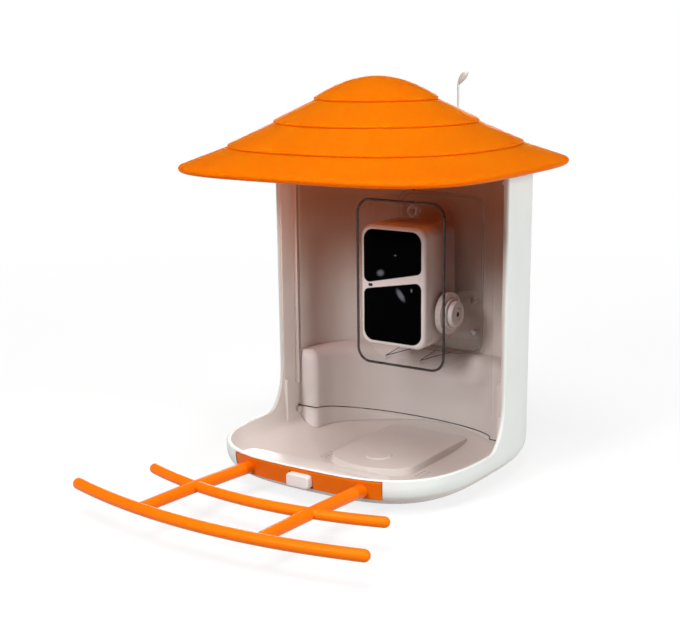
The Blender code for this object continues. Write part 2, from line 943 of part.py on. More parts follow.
def roof_under():
    """Inner surface, from the brim back to under the crown."""
    stations = []
    drop = roof_thickness
    for tier in (3, 2, 1, 0):
        half, exponent, height = ring_halves[tier], ring_exponents[tier], ring_heights[tier]
        inset = roof_thickness if tier == 3 else 0
        low = height - drop - (tier_lip_drop if tier < 3 else roof_thickness * 0.75)
        stations.append((half - inset, exponent, low))
    stations.append((ring_halves[0] / 2, ring_exponents[0], crown_height - drop * 2.2))
    return stations


def roof_outer_height(x, y):
    """Height of the roof's outer surface over a point, found by halving."""
    stations = roof_slope()
    previous = stations[0]
    for station in stations[1:]:
        half, exponent, height = station
        if half > previous[0] and inside(x, y, half, exponent) and not inside(x, y, *previous[:2]):
            low, high = 0.0, 1.0
            for _ in range(30):
                share = (low + high) / 2
                test_half = previous[0] + (half - previous[0]) * share
                test_exponent = previous[1] + (exponent - previous[1]) * share
                if inside(x, y, test_half, test_exponent):
                    high = share
                else:
                    low = share
            return previous[2] + (height - previous[2]) * high
        previous = station
    return ring_heights[-1]


def inside(x, y, half, exponent):
    return abs(x / half) ** exponent + abs(y / half) ** exponent <= 1


def seat_rail():
    """Rail under the roof that sits on the top of the tub's side and back walls."""
    half = tub_top_half - wall / 2
    points = superellipse(half, half, tub_exponent, tub_sides)
    line = [(half, seat_rail_start)]
    line += [point for point in points if point[1] > seat_rail_start + tub_half / 40]
    line.append((-half, seat_rail_start))
    outline = ribbon(line, seat_rail_thickness)
    base = tub_top + gap
    count = len(line)
    sections = []
    for index in range(count):
        left, right = outline[index], outline[2 * count - 1 - index]
        left_top = roof_outer_height(*left) - roof_thickness * seat_bite_share
        right_top = roof_outer_height(*right) - roof_thickness * seat_bite_share
        sections.append([(*left, base), (*right, base), (*right, right_top), (*left, left_top)])
    return loft(sections)


def hinge_knuckles():
    """Two knuckles that hang from the roof's back edge."""
    made = []
    for centre in (-hinge_spread, hinge_spread):
        low, high = centre - knuckle_width / 2, centre + knuckle_width / 2
        back_y = hinge_y + knuckle_radius * 0.9
        front_y = hinge_y - knuckle_radius * 0.9
        back_top = roof_outer_height(high, back_y) - roof_thickness * 0.5
        front_top = roof_outer_height(high, front_y) - roof_thickness * 0.5
        outline = arc((hinge_y, hinge_z), knuckle_radius, 180, 360, 8)
        outline += [(back_y, back_top), (front_y, front_top)]
        made.append(prism(outline, "x", low, high))
    return made


def build_roof():
    rings = [[(0, 0, crown_height)]]
    for half, exponent, height in roof_slope() + brim_edge() + roof_under():
        rings.append(roof_ring(half, exponent, height))
    rings.append([(0, 0, crown_height - roof_thickness * 1.1)])
    roof = loft(rings)
    add(roof, seat_rail(), *hinge_knuckles())
    cut(roof, hinge_bores(hinge_pin_radius + gap))
    return finish(roof, "roof", orange, (0, hinge_y, hinge_z))


def build_hinge_pins():
    """One headed pin through each knuckle and its two ears."""
    half = knuckle_width / 2 + gap + lug_width
    for label, side in sides:
        centre = side * hinge_spread
        head = centre + side * (half + gap)
        tip = centre - side * half
        profile = [(tip, hinge_pin_radius), (head, hinge_pin_radius), (head, hinge_pin_head),
                   (head + side * hinge_pin_head_length, hinge_pin_head)]
        pin = turned(profile, "x", (hinge_y, hinge_z), 12)
        finish(pin, "roof_hinge_pin_" + label, steel)


# Rear hanger

def build_hanger():
    """Wire that rises from its boss, steps back past the brim and stands up behind the roof."""
    foot_y = hanger_foot_y()
    bend = hanger_bend_radius
    line = [(foot_y, boss_base + gap * 3), (foot_y, hanger_bend_height - bend)]
    line += arc((foot_y + bend, hanger_bend_height - bend), bend, 180, 90, 5)[1:]
    line += arc((hanger_stand - bend, hanger_bend_height + bend), bend, -90, 0, 5)
    line += [(hanger_stand, leaf_base + leaf_width / 4)]
    points = [(hanger_x, y, z) for y, z in line]
    wire = tube(points, [hanger_radius] * len(points), 8)
    span = leaf_top - leaf_base
    leaf_shares = ((0.0, 0.0), (0.06, 0.02), (0.62, 0.40), (0.84, 0.62), (1.0, 0.93), (0.95, 1.0),
                   (0.50, 0.98), (0.28, 0.83), (0.10, 0.55), (-0.02, 0.25))
    outline = [(hanger_x - hanger_radius / 2 + leaf_width * across, leaf_base + span * up)
               for across, up in leaf_shares]
    half = leaf_thickness / 2
    leaf = prism(outline, "y", hanger_stand - half, hanger_stand + half)
    return finish(add(wire, leaf), "rear_hanger", grey_metal)


# Perch, button and spring

def bar(half, middle_y, bow, height, radius):
    """Round bar, bowed so that its ends come nearer to the tub."""
    points = []
    for step in range(bar_steps + 1):
        share = 2 * step / bar_steps - 1
        points.append((half * share, -middle_y + bow * share * share, height))
    return tube(points, [radius] * len(points), round_sides, round_ends=True)


def arm(side):
    """Arm from the plate's own surface out to the outer bar, thick and flared at its root."""
    face_y = -plan_reach(arm_root_x, tub_half)
    inner_y = -inner_bar_y
    outer_y = -outer_bar_y + outer_bar_bow * (arm_tip_x / outer_bar_half) ** 2
    flare = face_y - arm_flare_length
    points = [(side * arm_root_x, face_y + plate_thickness + plate_lean / 2, arm_root_z),
              (side * arm_root_x, face_y - gap, arm_root_z),
              (side * arm_root_x, (flare + face_y) / 2, arm_root_z),
              (side * arm_root_x, flare, arm_root_z),
              (side * (arm_root_x + arm_tip_x) / 2, inner_y, inner_bar_z),
              (side * arm_tip_x, outer_y, outer_bar_z)]
    low = min(arm_flare_radius, (plate_top - plate_bottom) / 2 - gap)
    radii = [low, low, (low + arm_radius) / 2, arm_radius, arm_radius * 0.93, arm_radius * 0.85]
    return cut(tube(points, radii, round_sides), plate_core())


def build_perch():
    perch = front_strip(plate_thickness, plate_half, plate_bottom, plate_top)
    for side in (-1, 1):
        low_z = arm_root_z - tongue_height / 2
        tongue = box((side * tongue_x - tongue_half, -tub_half, low_z),
                     (side * tongue_x + tongue_half, plate_back + tongue_length, low_z + tongue_height))
        combine(tongue, plate_core(), "INTERSECT")
        add(perch, tongue, arm(side))
    middle = button_middle()
    cage = box((-cage_half, -tub_half, middle - cage_half_height),
               (cage_half, plate_back + cage_length, middle + cage_half_height))
    add(perch, combine(cage, plate_core(), "INTERSECT"))
    add(perch, bar(inner_bar_half, inner_bar_y, inner_bar_bow, inner_bar_z, inner_bar_radius))
    add(perch, bar(outer_bar_half, outer_bar_y, outer_bar_bow, outer_bar_z, outer_bar_radius))
    mouth = box((-button_half - gap, -tub_half - overrun, button_bottom - gap),
                (button_half + gap, plate_back + gap, button_top + gap))
    reach = cage_half_height + overrun
    hollow = box((-cage_half + cage_wall, plate_back, middle - reach),
                 (cage_half - cage_wall, plate_back + cage_length - cage_wall, middle + reach))
    cut(perch, mouth, hollow)
    return finish(perch, "perch", bright_orange, (0, -tub_half, arm_root_z))


def button_middle():
    return (button_bottom + button_top) / 2


def build_button():
    """Square-round key with a stem and two ears that keep it behind the plate."""
    front = -tub_half - button_proud
    back = plate_back
    ear_front = back + gap
    ear_back = ear_front + button_ear_length
    rings = []
    radius = button_edge * 2
    for along, inset in ((front, button_edge), (front + button_edge / 3, button_edge / 3),
                         (front + button_edge, 0), (back, 0)):
        outline = rounded_rectangle((-button_half + inset, button_bottom + inset),
                                    (button_half - inset, button_top - inset), radius, 3)
        rings.append([(x, along, z) for x, z in outline])
    button = loft(rings)
    middle = button_middle()
    half_height = button_stem_height / 2
    ears = box((-button_ear_half, ear_front, middle - half_height),
               (button_ear_half, ear_back, middle + half_height))
    stem = box((-button_stem_half, back - button_edge, middle - half_height),
               (button_stem_half, ear_back + button_stem_length, middle + half_height))
    add(button, ears, stem)
    return finish(button, "perch_button", warm_white, (0, front, middle))


def build_spring():
    """Small coil between the button's stem and the back of its cage."""
    start = plate_back + gap + button_ear_length + button_stem_length + spring_wire + gap
    end = plate_back + cage_length - cage_wall - spring_wire - gap
    middle = button_middle()
    points = []
    per_turn = 8
    total = spring_turns * per_turn
    for step in range(total + 1):
        angle = math.tau * step / per_turn
        points.append((spring_radius * math.cos(angle), start + (end - start) * step / total,
                       middle + spring_radius * math.sin(angle)))
    coil = tube(points, [spring_wire] * len(points), 5)
    return finish(coil, "button_spring", steel, (0, start, middle))


# Camera

def camera_outline(inset):
    low = (camera_left + inset, camera_bottom + inset)
    high = (camera_right - inset, camera_top - inset)
    return rounded_rectangle(low, high, max(camera_corner - inset, camera_corner / 4), 4)


def camera_loft(stations):
    return loft([[(x, along, z) for x, z in camera_outline(inset)] for along, inset in stations])


def window_outline(inset, lower):
    """One of the two dark windows: three square sides, and a slanted side along the band."""
    left = camera_left + window_margin + inset
    right = camera_right - window_margin - inset
    if lower:
        edge_left, edge_right = band_left_low - inset, band_right_low - inset
        far = camera_bottom + window_margin + inset
        corners = ((left, far, window_corner), (right, far, window_corner),
                   (right, edge_right, band_corner), (left, edge_left, band_corner))
    else:
        edge_left, edge_right = band_left_high + inset, band_right_high + inset
        far = camera_top - window_margin - inset
        corners = ((left, edge_left, band_corner), (right, edge_right, band_corner),
                   (right, far, window_corner), (left, far, window_corner))
    return fillet_polygon(corners)


def fillet_polygon(corners, steps=4):
    """Polygon whose corners are rounded by a tangent arc; corners are (x, y, radius)."""
    points = []
    count = len(corners)
    for index, (x, y, radius) in enumerate(corners):
        here = Vector((x, y))
        before = (Vector(corners[index - 1][:2]) - here).normalized()
        after = (Vector(corners[(index + 1) % count][:2]) - here).normalized()
        half_angle = before.angle(after) / 2
        bisector = (before + after).normalized()
        centre = here + bisector * radius / math.sin(half_angle)
        first = here + before * radius / math.tan(half_angle) - centre
        last = here + after * radius / math.tan(half_angle) - centre
        sweep = first.angle_signed(last)
        for step in range(steps + 1):
            angle = -sweep * step / steps
            points.append((centre.x + first.x * math.cos(angle) - first.y * math.sin(angle),
                           centre.y + first.x * math.sin(angle) + first.y * math.cos(angle)))
    return points


def build_camera_front():
    front, split = camera_front, camera_split
    edge = camera_front_edge
    case = camera_loft(((front, edge), (front + edge * 0.13, edge * 0.5), (front + edge * 0.45, edge * 0.15),
                        (front + edge, 0), (split, 0)))
    deck = front + window_depth + camera_wall
    inner = camera_loft(((deck, camera_wall + edge / 3), (deck + edge / 2, camera_wall),
                         (split + overrun, camera_wall)))
    cut(case, inner)
    for lower in (False, True):
        cut(case, prism(window_outline(0, lower), "y", front - overrun, front + window_depth))
    for x, z, radius in ((lens_x, lens_z, lens_radius), (lens_x, sensor_z, sensor_radius)):
        cut(case, turned([(front, radius + gap), (deck + overrun, radius + gap)], "y", (x, z), 20))
    for x, z in light_places():
        cut(case, turned([(front, light_radius + gap), (deck + overrun, light_radius + gap)], "y", (x, z), 8))
    cut(case, turned([(front, status_radius + gap), (deck + overrun, status_radius + gap)], "y",
                     (status_x, status_z), 8))
    cut(case, box((mic_x - mic_half, front - overrun, mic_z - mic_height),
                  (mic_x + mic_half, deck + overrun, mic_z + mic_height)))
    return finish(case, "camera_front_case", white_camera, camera_pivot())


def camera_pivot():
    return (0, pivot_y, pivot_z)


def light_places():
    return [(lens_x + side * light_spread, light_z) for side in (-1, 1)]


def build_camera_back():
    edge = camera_back_edge
    start = camera_split + gap
    back = camera_back
    stations = [(start, 0), (back - edge, 0), (back - edge * 0.5, edge * 0.13),
                (back - edge * 0.13, edge * 0.5), (back, edge)]
    case = camera_loft(stations)
    inner = camera_loft(((start - overrun, camera_wall), (back - edge, camera_wall),
                         (back - camera_wall, edge)))
    cut(case, inner)
    disc_profile = [(camera_right - camera_wall / 2, side_disc_radius), (side_disc_face, side_disc_radius)]
    add(case, turned(disc_profile, "x", (pivot_y, pivot_z), 28))
    boss_profile = [(camera_right - camera_wall - pivot_screw_reach, pivot_screw_radius * 2),
                    (camera_right - camera_wall / 2, pivot_screw_radius * 2)]
    add(case, turned(boss_profile, "x", (pivot_y, pivot_z), 16))
    bore = [(camera_right - camera_wall - pivot_screw_reach - overrun, pivot_screw_radius + gap),
            (side_disc_face + overrun, pivot_screw_radius + gap)]
    cut(case, turned(bore, "x", (pivot_y, pivot_z), 16))
    cover = charge_cover_outline(gap)
    cut(case, prism(cover, "z", camera_bottom - overrun, camera_bottom + charge_cover_depth + gap))
    return finish(case, "camera_back_case", white_camera, camera_pivot())


def charge_cover_outline(grow):
    half_x, half_y = charge_cover_half + grow, charge_cover_height + grow
    low = (camera_middle_x - half_x, charge_cover_y - half_y)
    high = (camera_middle_x + half_x, charge_cover_y + half_y)
    return rounded_rectangle(low, high, half_y * 0.6, 3)


def build_camera_skins():
    """Windows, the seal between the case halves and the rubber cover of the charging port."""
    names = (("upper_window", False), ("lower_window", True))
    for name, lower in names:
        plate = prism(window_outline(gap, lower), "y", camera_front + gap / 2,
                      camera_front + window_depth - gap)
        finish(plate, name, black_glass, camera_pivot())
    inset = camera_wall + gap
    start = camera_split - seal_thickness
    seal = camera_loft(((start, inset), (camera_split + seal_thickness, inset)))
    seal_hole = camera_loft(((start - overrun, inset + seal_width),
                             (camera_split + seal_thickness + overrun, inset + seal_width)))
    finish(cut(seal, seal_hole), "case_seal", black_rubber, camera_pivot())
    cover = prism(charge_cover_outline(0), "z", camera_bottom, camera_bottom + charge_cover_depth)
    finish(cover, "charging_port_cover", grey_rubber, camera_pivot())


def build_camera_inside():
    """Board with its lens, sensor and lights, two cells in a holder, and the speaker."""
    front = board_y
    low = (camera_left + board_margin, camera_bottom + board_margin)
    high = (camera_right - board_margin, camera_top - board_margin)
    board = prism(rounded_rectangle(low, high, camera_corner / 2, 3), "y", front, front + board_thickness)
    finish(board, "main_board", green_board, camera_pivot())
    face = camera_front + window_depth + gap
    lens_back = front - gap
    barrel = [(lens_back, lens_radius), (face + lens_length / 2, lens_radius),
              (face + lens_length / 2, lens_radius * 0.9), (face, lens_radius * 0.8)]
    lens = turned(barrel, "y", (lens_x, lens_z), 20)
    bowl = [(face - overrun, lens_radius * 0.65), (face + lens_length / 4, lens_radius * 0.35)]
    finish(cut(lens, turned(bowl, "y", (lens_x, lens_z), 16)), "camera_lens", black_glass, camera_pivot())
    dome = [(lens_back, sensor_radius * 0.9), (face + sensor_length / 3, sensor_radius * 0.9),
            (face + sensor_length / 8, sensor_radius * 0.7), (face, sensor_radius * 0.3), (face, 0)]
    finish(turned(dome, "y", (lens_x, sensor_z), 20), "motion_sensor", white_lens, camera_pivot())
    for (label, side), place_xz in zip(sides, light_places()):
        profile = [(lens_back, light_radius), (face + light_radius / 2, light_radius),
                   (face, light_radius / 2)]
        finish(turned(profile, "y", place_xz, 8), "night_light_" + label, white_lens, camera_pivot())
    pipe = turned([(lens_back, status_radius), (face, status_radius)], "y", (status_x, status_z), 8)
    finish(pipe, "status_light_pipe", amber_lens, camera_pivot())
    for label, side in sides:
        profile = [(cell_bottom, cell_radius * 0.9), (cell_bottom + cell_radius * 0.1, cell_radius),
                   (cell_bottom + cell_length - cell_radius * 0.3, cell_radius),
                   (cell_bottom + cell_length - cell_radius * 0.2, cell_radius * 0.4),
                   (cell_bottom + cell_length, cell_radius * 0.4)]
        cell = turned(profile, "z", (camera_middle_x + side * cell_pitch / 2, cell_y), 18)
        finish(cell, "battery_cell_" + label, cell_wrap, camera_pivot())
    build_holder(front)
    speaker_y = front + board_thickness + gap
    cone = [(speaker_y, speaker_radius), (speaker_y + speaker_length, speaker_radius),
            (speaker_y + speaker_length, speaker_radius * 0.6),
            (speaker_y + speaker_length * 1.5, speaker_radius * 0.5)]
    finish(turned(cone, "y", (camera_middle_x, speaker_z), 18), "speaker", dark_metal, camera_pivot())


def build_holder(board_front):
    """Open tray between the board and the cells, with an end plate under and over them."""
    left = camera_middle_x - cell_pitch / 2 - cell_radius
    right = camera_middle_x + cell_pitch / 2 + cell_radius
    near = board_front + board_thickness + gap
    far = cell_y + cell_radius * 0.6
    base = cell_bottom - gap - holder_thickness
    top = cell_bottom + cell_length + gap + holder_thickness
    tray = box((left, near, base), (right, far, top))
    hollow = box((left - overrun, near + holder_thickness, base + holder_thickness),
                 (right + overrun, far + overrun, top - holder_thickness))
    return finish(cut(tray, hollow), "cell_holder", dark_plastic, camera_pivot())


# Camera bracket, washer, knob and screws

def build_bracket():
    """Arm with a round head at the pivot and a foot on the pocket's back wall."""
    head = arc((pivot_y, pivot_z), bracket_radius, 55, 265, 14)
    foot_front = bracket_foot_back - bracket_foot_thickness
    outline = head + [(foot_front, bracket_foot_bottom), (bracket_foot_back, bracket_foot_bottom),
                      (bracket_foot_back, bracket_foot_top), (foot_front, bracket_foot_top)]
    bracket = prism(outline, "x", bracket_start, bracket_end)
    foot = box((bracket_start, foot_front, bracket_foot_bottom),
               (bracket_start + bracket_foot_width, bracket_foot_back, bracket_foot_top))
    add(bracket, foot)
    cut(bracket, turned([(bracket_start - overrun, pivot_screw_radius + gap),
                         (bracket_end + overrun, pivot_screw_radius + gap)], "x", (pivot_y, pivot_z), 16))
    for place_xz in bracket_screw_places():
        bore = [(foot_front - overrun * 2, bracket_screw_radius + gap),
                (bracket_foot_back + overrun, bracket_screw_radius + gap)]
        cut(bracket, turned(bore, "y", place_xz, 10))
    return finish(bracket, "camera_bracket", warm_white)


def build_pivot():
    """Friction washer, clamping knob and the socket screw through its middle."""
    centre = (pivot_y, pivot_z)
    washer = turned([(washer_start, washer_radius), (washer_start + washer_thickness, washer_radius)],
                    "x", centre, 24)
    cut(washer, turned([(washer_start - overrun, pivot_screw_radius + gap),
                        (washer_start + washer_thickness + overrun, pivot_screw_radius + gap)],
                       "x", centre, 16))
    finish(washer, "friction_washer", grey_rubber, camera_pivot())
    flange_end = knob_start + knob_flange_length
    profile = [(knob_start, knob_flange_radius), (flange_end, knob_flange_radius), (flange_end, knob_radius),
               (knob_end - knob_edge, knob_radius), (knob_end, knob_radius - knob_edge)]
    knob = turned(profile, "x", centre, 24)
    head_start = knob_end - pivot_head_length
    cut(knob, turned([(knob_start - overrun, pivot_screw_radius + gap),
                      (knob_end + overrun, pivot_screw_radius + gap)], "x", centre, 16))
    cut(knob, turned([(head_start - gap, pivot_head_radius + gap),
                      (knob_end + overrun, pivot_head_radius + gap)], "x", centre, 18))
    finish(knob, "pivot_knob", warm_white, camera_pivot())
    tip = camera_right - camera_wall - pivot_screw_reach + gap
    screw = turned([(tip, pivot_screw_radius), (head_start, pivot_screw_radius),
                    (head_start, pivot_head_radius), (knob_end - gap, pivot_head_radius)], "x", centre, 18)
    cut(screw, turned([(knob_end - hex_depth, hex_radius), (knob_end + overrun, hex_radius)], "x", centre, 6))
    finish(screw, "pivot_screw", steel, camera_pivot())


def build_bracket_screws():
    foot_front = bracket_foot_back - bracket_foot_thickness
    head_front = foot_front - gap - bracket_screw_head_length
    tip = pocket_back + gap
    for label, place_xz in zip(("lower", "upper"), bracket_screw_places()):
        profile = [(head_front, bracket_screw_head * 0.7),
                   (head_front + bracket_screw_head_length / 2, bracket_screw_head),
                   (foot_front - gap, bracket_screw_head), (foot_front - gap, bracket_screw_radius),
                   (tip, bracket_screw_radius)]
        finish(turned(profile, "y", place_xz, 12), "bracket_screw_" + label, steel)


white_shell = make_material("white_shell", (0.86, 0.88, 0.85), 0.38)
warm_white = make_material("warm_white", (0.80, 0.74, 0.71), 0.42)
white_camera = make_material("white_camera", (0.87, 0.84, 0.82), 0.32)
orange = make_material("orange", (0.88, 0.24, 0.012), 0.45)
bright_orange = make_material("bright_orange", (0.95, 0.20, 0.01), 0.40)
clear_plastic = make_material("clear_plastic", (0.85, 0.86, 0.86), 0.06, alpha=0.25)
black_glass = make_material("black_glass", (0.004, 0.004, 0.005), 0.08)
white_lens = make_material("white_lens", (0.55, 0.56, 0.58), 0.25)
amber_lens = make_material("amber_lens", (0.60, 0.45, 0.15), 0.25)
black_rubber = make_material("black_rubber", (0.02, 0.02, 0.02), 0.7)
grey_rubber = make_material("grey_rubber", (0.35, 0.34, 0.33), 0.7)
green_board = make_material("green_board", (0.02, 0.16, 0.07), 0.4)
cell_wrap = make_material("cell_wrap", (0.05, 0.20, 0.45), 0.35)
dark_metal = make_material("dark_metal", (0.10, 0.10, 0.11), 0.4, 0.8)
dark_plastic = make_material("dark_plastic", (0.03, 0.03, 0.03), 0.5)
brass = make_material("brass", (0.70, 0.48, 0.20), 0.3, 1.0)
steel = make_material("steel", (0.60, 0.60, 0.60), 0.3, 1.0)
grey_metal = make_material("grey_metal", (0.52, 0.54, 0.51), 0.4, 0.6)

build_tub()
build_inserts()
build_chute()
build_panel()
build_roof()
build_hinge_pins()
build_hanger()
build_perch()
build_button()
build_spring()
build_camera_front()
build_camera_back()
build_camera_skins()
build_camera_inside()
build_bracket()
build_pivot()
build_bracket_screws()
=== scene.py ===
import math

import bmesh
import bpy
import numpy as np
from mathutils import Matrix, Vector


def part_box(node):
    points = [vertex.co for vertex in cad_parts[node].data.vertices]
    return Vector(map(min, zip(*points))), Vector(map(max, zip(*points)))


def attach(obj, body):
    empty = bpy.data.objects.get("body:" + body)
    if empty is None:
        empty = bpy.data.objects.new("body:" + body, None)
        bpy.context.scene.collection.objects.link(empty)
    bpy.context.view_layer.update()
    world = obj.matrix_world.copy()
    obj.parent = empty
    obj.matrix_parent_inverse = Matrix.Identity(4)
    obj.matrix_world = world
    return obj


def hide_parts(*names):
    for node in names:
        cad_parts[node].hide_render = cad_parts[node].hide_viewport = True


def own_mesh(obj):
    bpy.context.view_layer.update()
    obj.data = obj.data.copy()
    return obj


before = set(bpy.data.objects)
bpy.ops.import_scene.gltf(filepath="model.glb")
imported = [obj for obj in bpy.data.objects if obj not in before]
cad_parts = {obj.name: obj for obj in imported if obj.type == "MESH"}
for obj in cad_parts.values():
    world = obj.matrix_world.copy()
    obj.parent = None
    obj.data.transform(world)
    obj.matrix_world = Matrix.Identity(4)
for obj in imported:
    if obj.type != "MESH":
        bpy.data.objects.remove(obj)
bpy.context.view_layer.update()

# Sizes are in millimetres, in the feeder's own frame, whose origin lies under the middle of the tub
toWorld = np.array([0.0, 45.8, -1.5])
# Shared by several pieces: the tub's plan exponent, and (y, z) of the roof's hinge and the camera's pivot
planExponent = 3.22
hinge = (105.5, 229.0)
pivot = (58.5, 111.5)


# Point in metres in the frame of the CAD: (point + shift) / 1000
def inMetres(point):
    return ((np.array(point, float) + toWorld) * 0.001).tolist()


# Superellipse: reach = (|cos|^n + |sin|^n)^(-1/n), times the half size, at a polar angle
def plan(half, exponent, angle):
    across, along = np.cos(angle), np.sin(angle)
    reach = half * (np.abs(across) ** exponent + np.abs(along) ** exponent) ** (-1 / exponent)
    return reach * across, reach * along


# The same curve as a depth: y = half * (1 - |x / half|^n)^(1/n)
def planDepth(x, half):
    return half * (1 - np.abs(np.asarray(x) / half) ** planExponent) ** (1 / planExponent)


# Half size of the superellipse through each point: (|x|^n + |y|^n)^(1/n)
def planSize(flat):
    return (np.abs(flat) ** planExponent).sum(1) ** (1 / planExponent)


# Evenly spaced angles over a quarter turn
def quarter(count):
    return np.linspace(0, math.pi / 2, count)


# Round edge as pairs of r (1 - sin a) inwards and r (1 - cos a) along, over a quarter turn
def rounded(radius, count):
    return [(radius * (1 - math.sin(a)), radius * (1 - math.cos(a))) for a in quarter(count)]


# Points of a circle: centre + radius * (cos, sin)
def arc(centre, radius, angle):
    return np.stack([centre[0] + radius * np.cos(angle), centre[1] + radius * np.sin(angle)], 1)


# Every point of an outline moved to its mean, which closes a shell
def pole(outline):
    return np.repeat(outline.mean(0)[None], len(outline), 0)


# Quads between neighbouring rows and columns, closed round the columns where asked
def gridFaces(rows, columns, wrap=True):
    i = np.arange(rows - 1)[:, None] * columns
    j = np.arange(columns if wrap else columns - 1)[None, :]
    k = (j + 1) % columns
    return np.stack([i + j, i + k, i + k + columns, i + j + columns], -1).reshape(-1, 4)


# Rows of points become one list of points and the faces between them
def skin(rows, wrap=True):
    grid = np.stack(rows)
    return grid.reshape(-1, 3), gridFaces(*grid.shape[:2], wrap)


# The same, closed at both ends in the mean of the end rows
def capped(rows):
    return skin([pole(rows[0]), *rows, pole(rows[-1])])


# Shells joined into one: each one's faces are shifted by the points before it
def mergedShell(parts):
    starts = np.cumsum([0] + [len(points) for points, faces in parts])
    return (np.concatenate([points for points, faces in parts]),
            np.concatenate([faces + start for (points, faces), start in zip(parts, starts)]))


# Flat points and a distance along an axis become points in space
def place(flat, along, axis):
    level = np.broadcast_to(along, (len(flat),))
    order = {"x": (2, 0, 1), "y": (0, 2, 1), "z": (0, 1, 2)}[axis]
    return np.stack([flat[:, 0], flat[:, 1], level], 1)[:, list(order)]


# Rectangle with quarter circles for corners, counter-clockwise from the right
def roundRectangle(low, high, radius, steps):
    corners = ((high[0], high[1], 1, 1), (low[0], high[1], -1, 1),
               (low[0], low[1], -1, -1), (high[0], low[1], 1, -1))
    return np.concatenate([arc((x - signX * radius, y - signY * radius), radius,
                               quarter(steps + 1) + index * math.pi / 2)
                           for index, (x, y, signX, signY) in enumerate(corners)])


# Outline moved inwards along its own normals, the normal being the chord between its two neighbours turned
def inset(flat, distance):
    chord = np.roll(flat, -1, 0) - np.roll(flat, 1, 0)
    normal = np.stack([-chord[:, 1], chord[:, 0]], 1) / np.maximum(np.linalg.norm(chord, axis=1), 1e-9)[:, None]
    return flat + normal * distance


# Ring of the superellipse at a level, or at one level for each angle
def ring(half, angle, level, exponent=planExponent):
    return place(np.stack(plan(half, exponent, angle), 1), level, "z")


# Shell along an axis from steps of (inward, level), closed at both ends in the outline's middle
def swept(outline, steps, axis):
    middle = pole(outline(0))
    return skin([place(middle, steps[0][1], axis), *(place(outline(inward), level, axis) for inward, level in steps),
                 place(middle, steps[-1][1], axis)])


# Solid between two levels along an axis, both of its edges rounded
def slab(flat, low, high, axis, radius, steps):
    edge = rounded(radius, steps + 1)
    return swept(lambda inward: inset(flat, inward), [(inward, low + up) for inward, up in edge]
                 + [(inward, high - up) for inward, up in edge[::-1]], axis)


# Box with round corners in plan and rounded ends, built along the axis
def block(low, high, radius, axis="z"):
    a, b, c = {"y": (0, 2, 1), "z": (0, 1, 2)}[axis]
    low, high = np.minimum(low, high).tolist(), np.maximum(low, high).tolist()
    return slab(roundRectangle((low[a], low[b]), (high[a], high[b]), radius, 4), low[c], high[c], axis, radius, 4)


# Blocks given as two corners and an edge radius, on both sides: x times -1 and 1
def mirrored(parts, axis="z"):
    return [block((side * low[0], *low[1:]), (side * high[0], *high[1:]), radius, axis)
            for side in (-1, 1) for low, high, radius in parts]


# Round piece: the profile lists (distance along the axis, radius)
def turned(profile, centre, axis, sides):
    angle = np.linspace(0, math.tau, sides, endpoint=False)
    return skin([place(arc(centre, radius, angle), along, axis) for along, radius in profile])


# Bar along a path: rings square to the path, with half-sphere or flat ends, or closed into a loop
def pipe(path, radii, upright, sides, start="round", end="round"):
    path, radii = np.asarray(path, float), np.broadcast_to(radii, (len(path),)).astype(float)
    if start == "loop":
        along = np.roll(path, -1, 0) - np.roll(path, 1, 0)
        along /= np.linalg.norm(along, axis=1)[:, None]
        centres, widths, ways = (np.concatenate([part, part[:1]]) for part in (path, radii, along))
    else:
        along = np.gradient(path, axis=0)
        along /= np.linalg.norm(along, axis=1)[:, None]
        cap = quarter(9)[:0:-1]
        caps = {"round": (np.sin(cap), np.cos(cap)), "flat": (np.zeros(1), np.zeros(1))}
        (out, wide), (lastOut, lastWide) = caps[start], caps[end]
        centres = np.concatenate([path[0] - along[0] * radii[0] * out[:, None], path,
                                  path[-1] + along[-1] * radii[-1] * lastOut[::-1, None]])
        widths = np.concatenate([radii[0] * wide, radii, radii[-1] * lastWide[::-1]])
        ways = np.concatenate([np.repeat(along[:1], len(out), 0), along, np.repeat(along[-1:], len(lastOut), 0)])
    across = np.cross(ways, upright)
    across /= np.linalg.norm(across, axis=1)[:, None]
    angle = np.linspace(0, math.tau, sides, endpoint=False)[None, :, None]
    ring = across[:, None] * np.cos(angle) + np.cross(across, ways)[:, None] * np.sin(angle)
    return skin(centres[:, None] + ring * widths[:, None, None])


# Polygon whose corners are rounded by tangent arcs; corners are (x, y, radius)
def fillet(corners, steps):
    corners = np.asarray(corners, float)
    here, radius = corners[:, :2], corners[:, 2]
    before, after = np.roll(here, 1, 0) - here, np.roll(here, -1, 0) - here
    before /= np.linalg.norm(before, axis=1)[:, None]
    after /= np.linalg.norm(after, axis=1)[:, None]
    half = np.arccos(np.clip((before * after).sum(1), -1, 1)) / 2
    middle = before + after
    middle /= np.linalg.norm(middle, axis=1)[:, None]
    centre = here + middle * (radius / np.sin(half))[:, None]
    first = here + before * (radius / np.tan(half))[:, None] - centre
    last = here + after * (radius / np.tan(half))[:, None] - centre
    share = np.linspace(0, 1, steps + 1)[None, :, None]
    bend = first[:, None] * (1 - share) + last[:, None] * share
    bend *= radius[:, None, None] / np.linalg.norm(bend, axis=2)[:, :, None]
    return (centre[:, None] + bend).reshape(-1, 2)


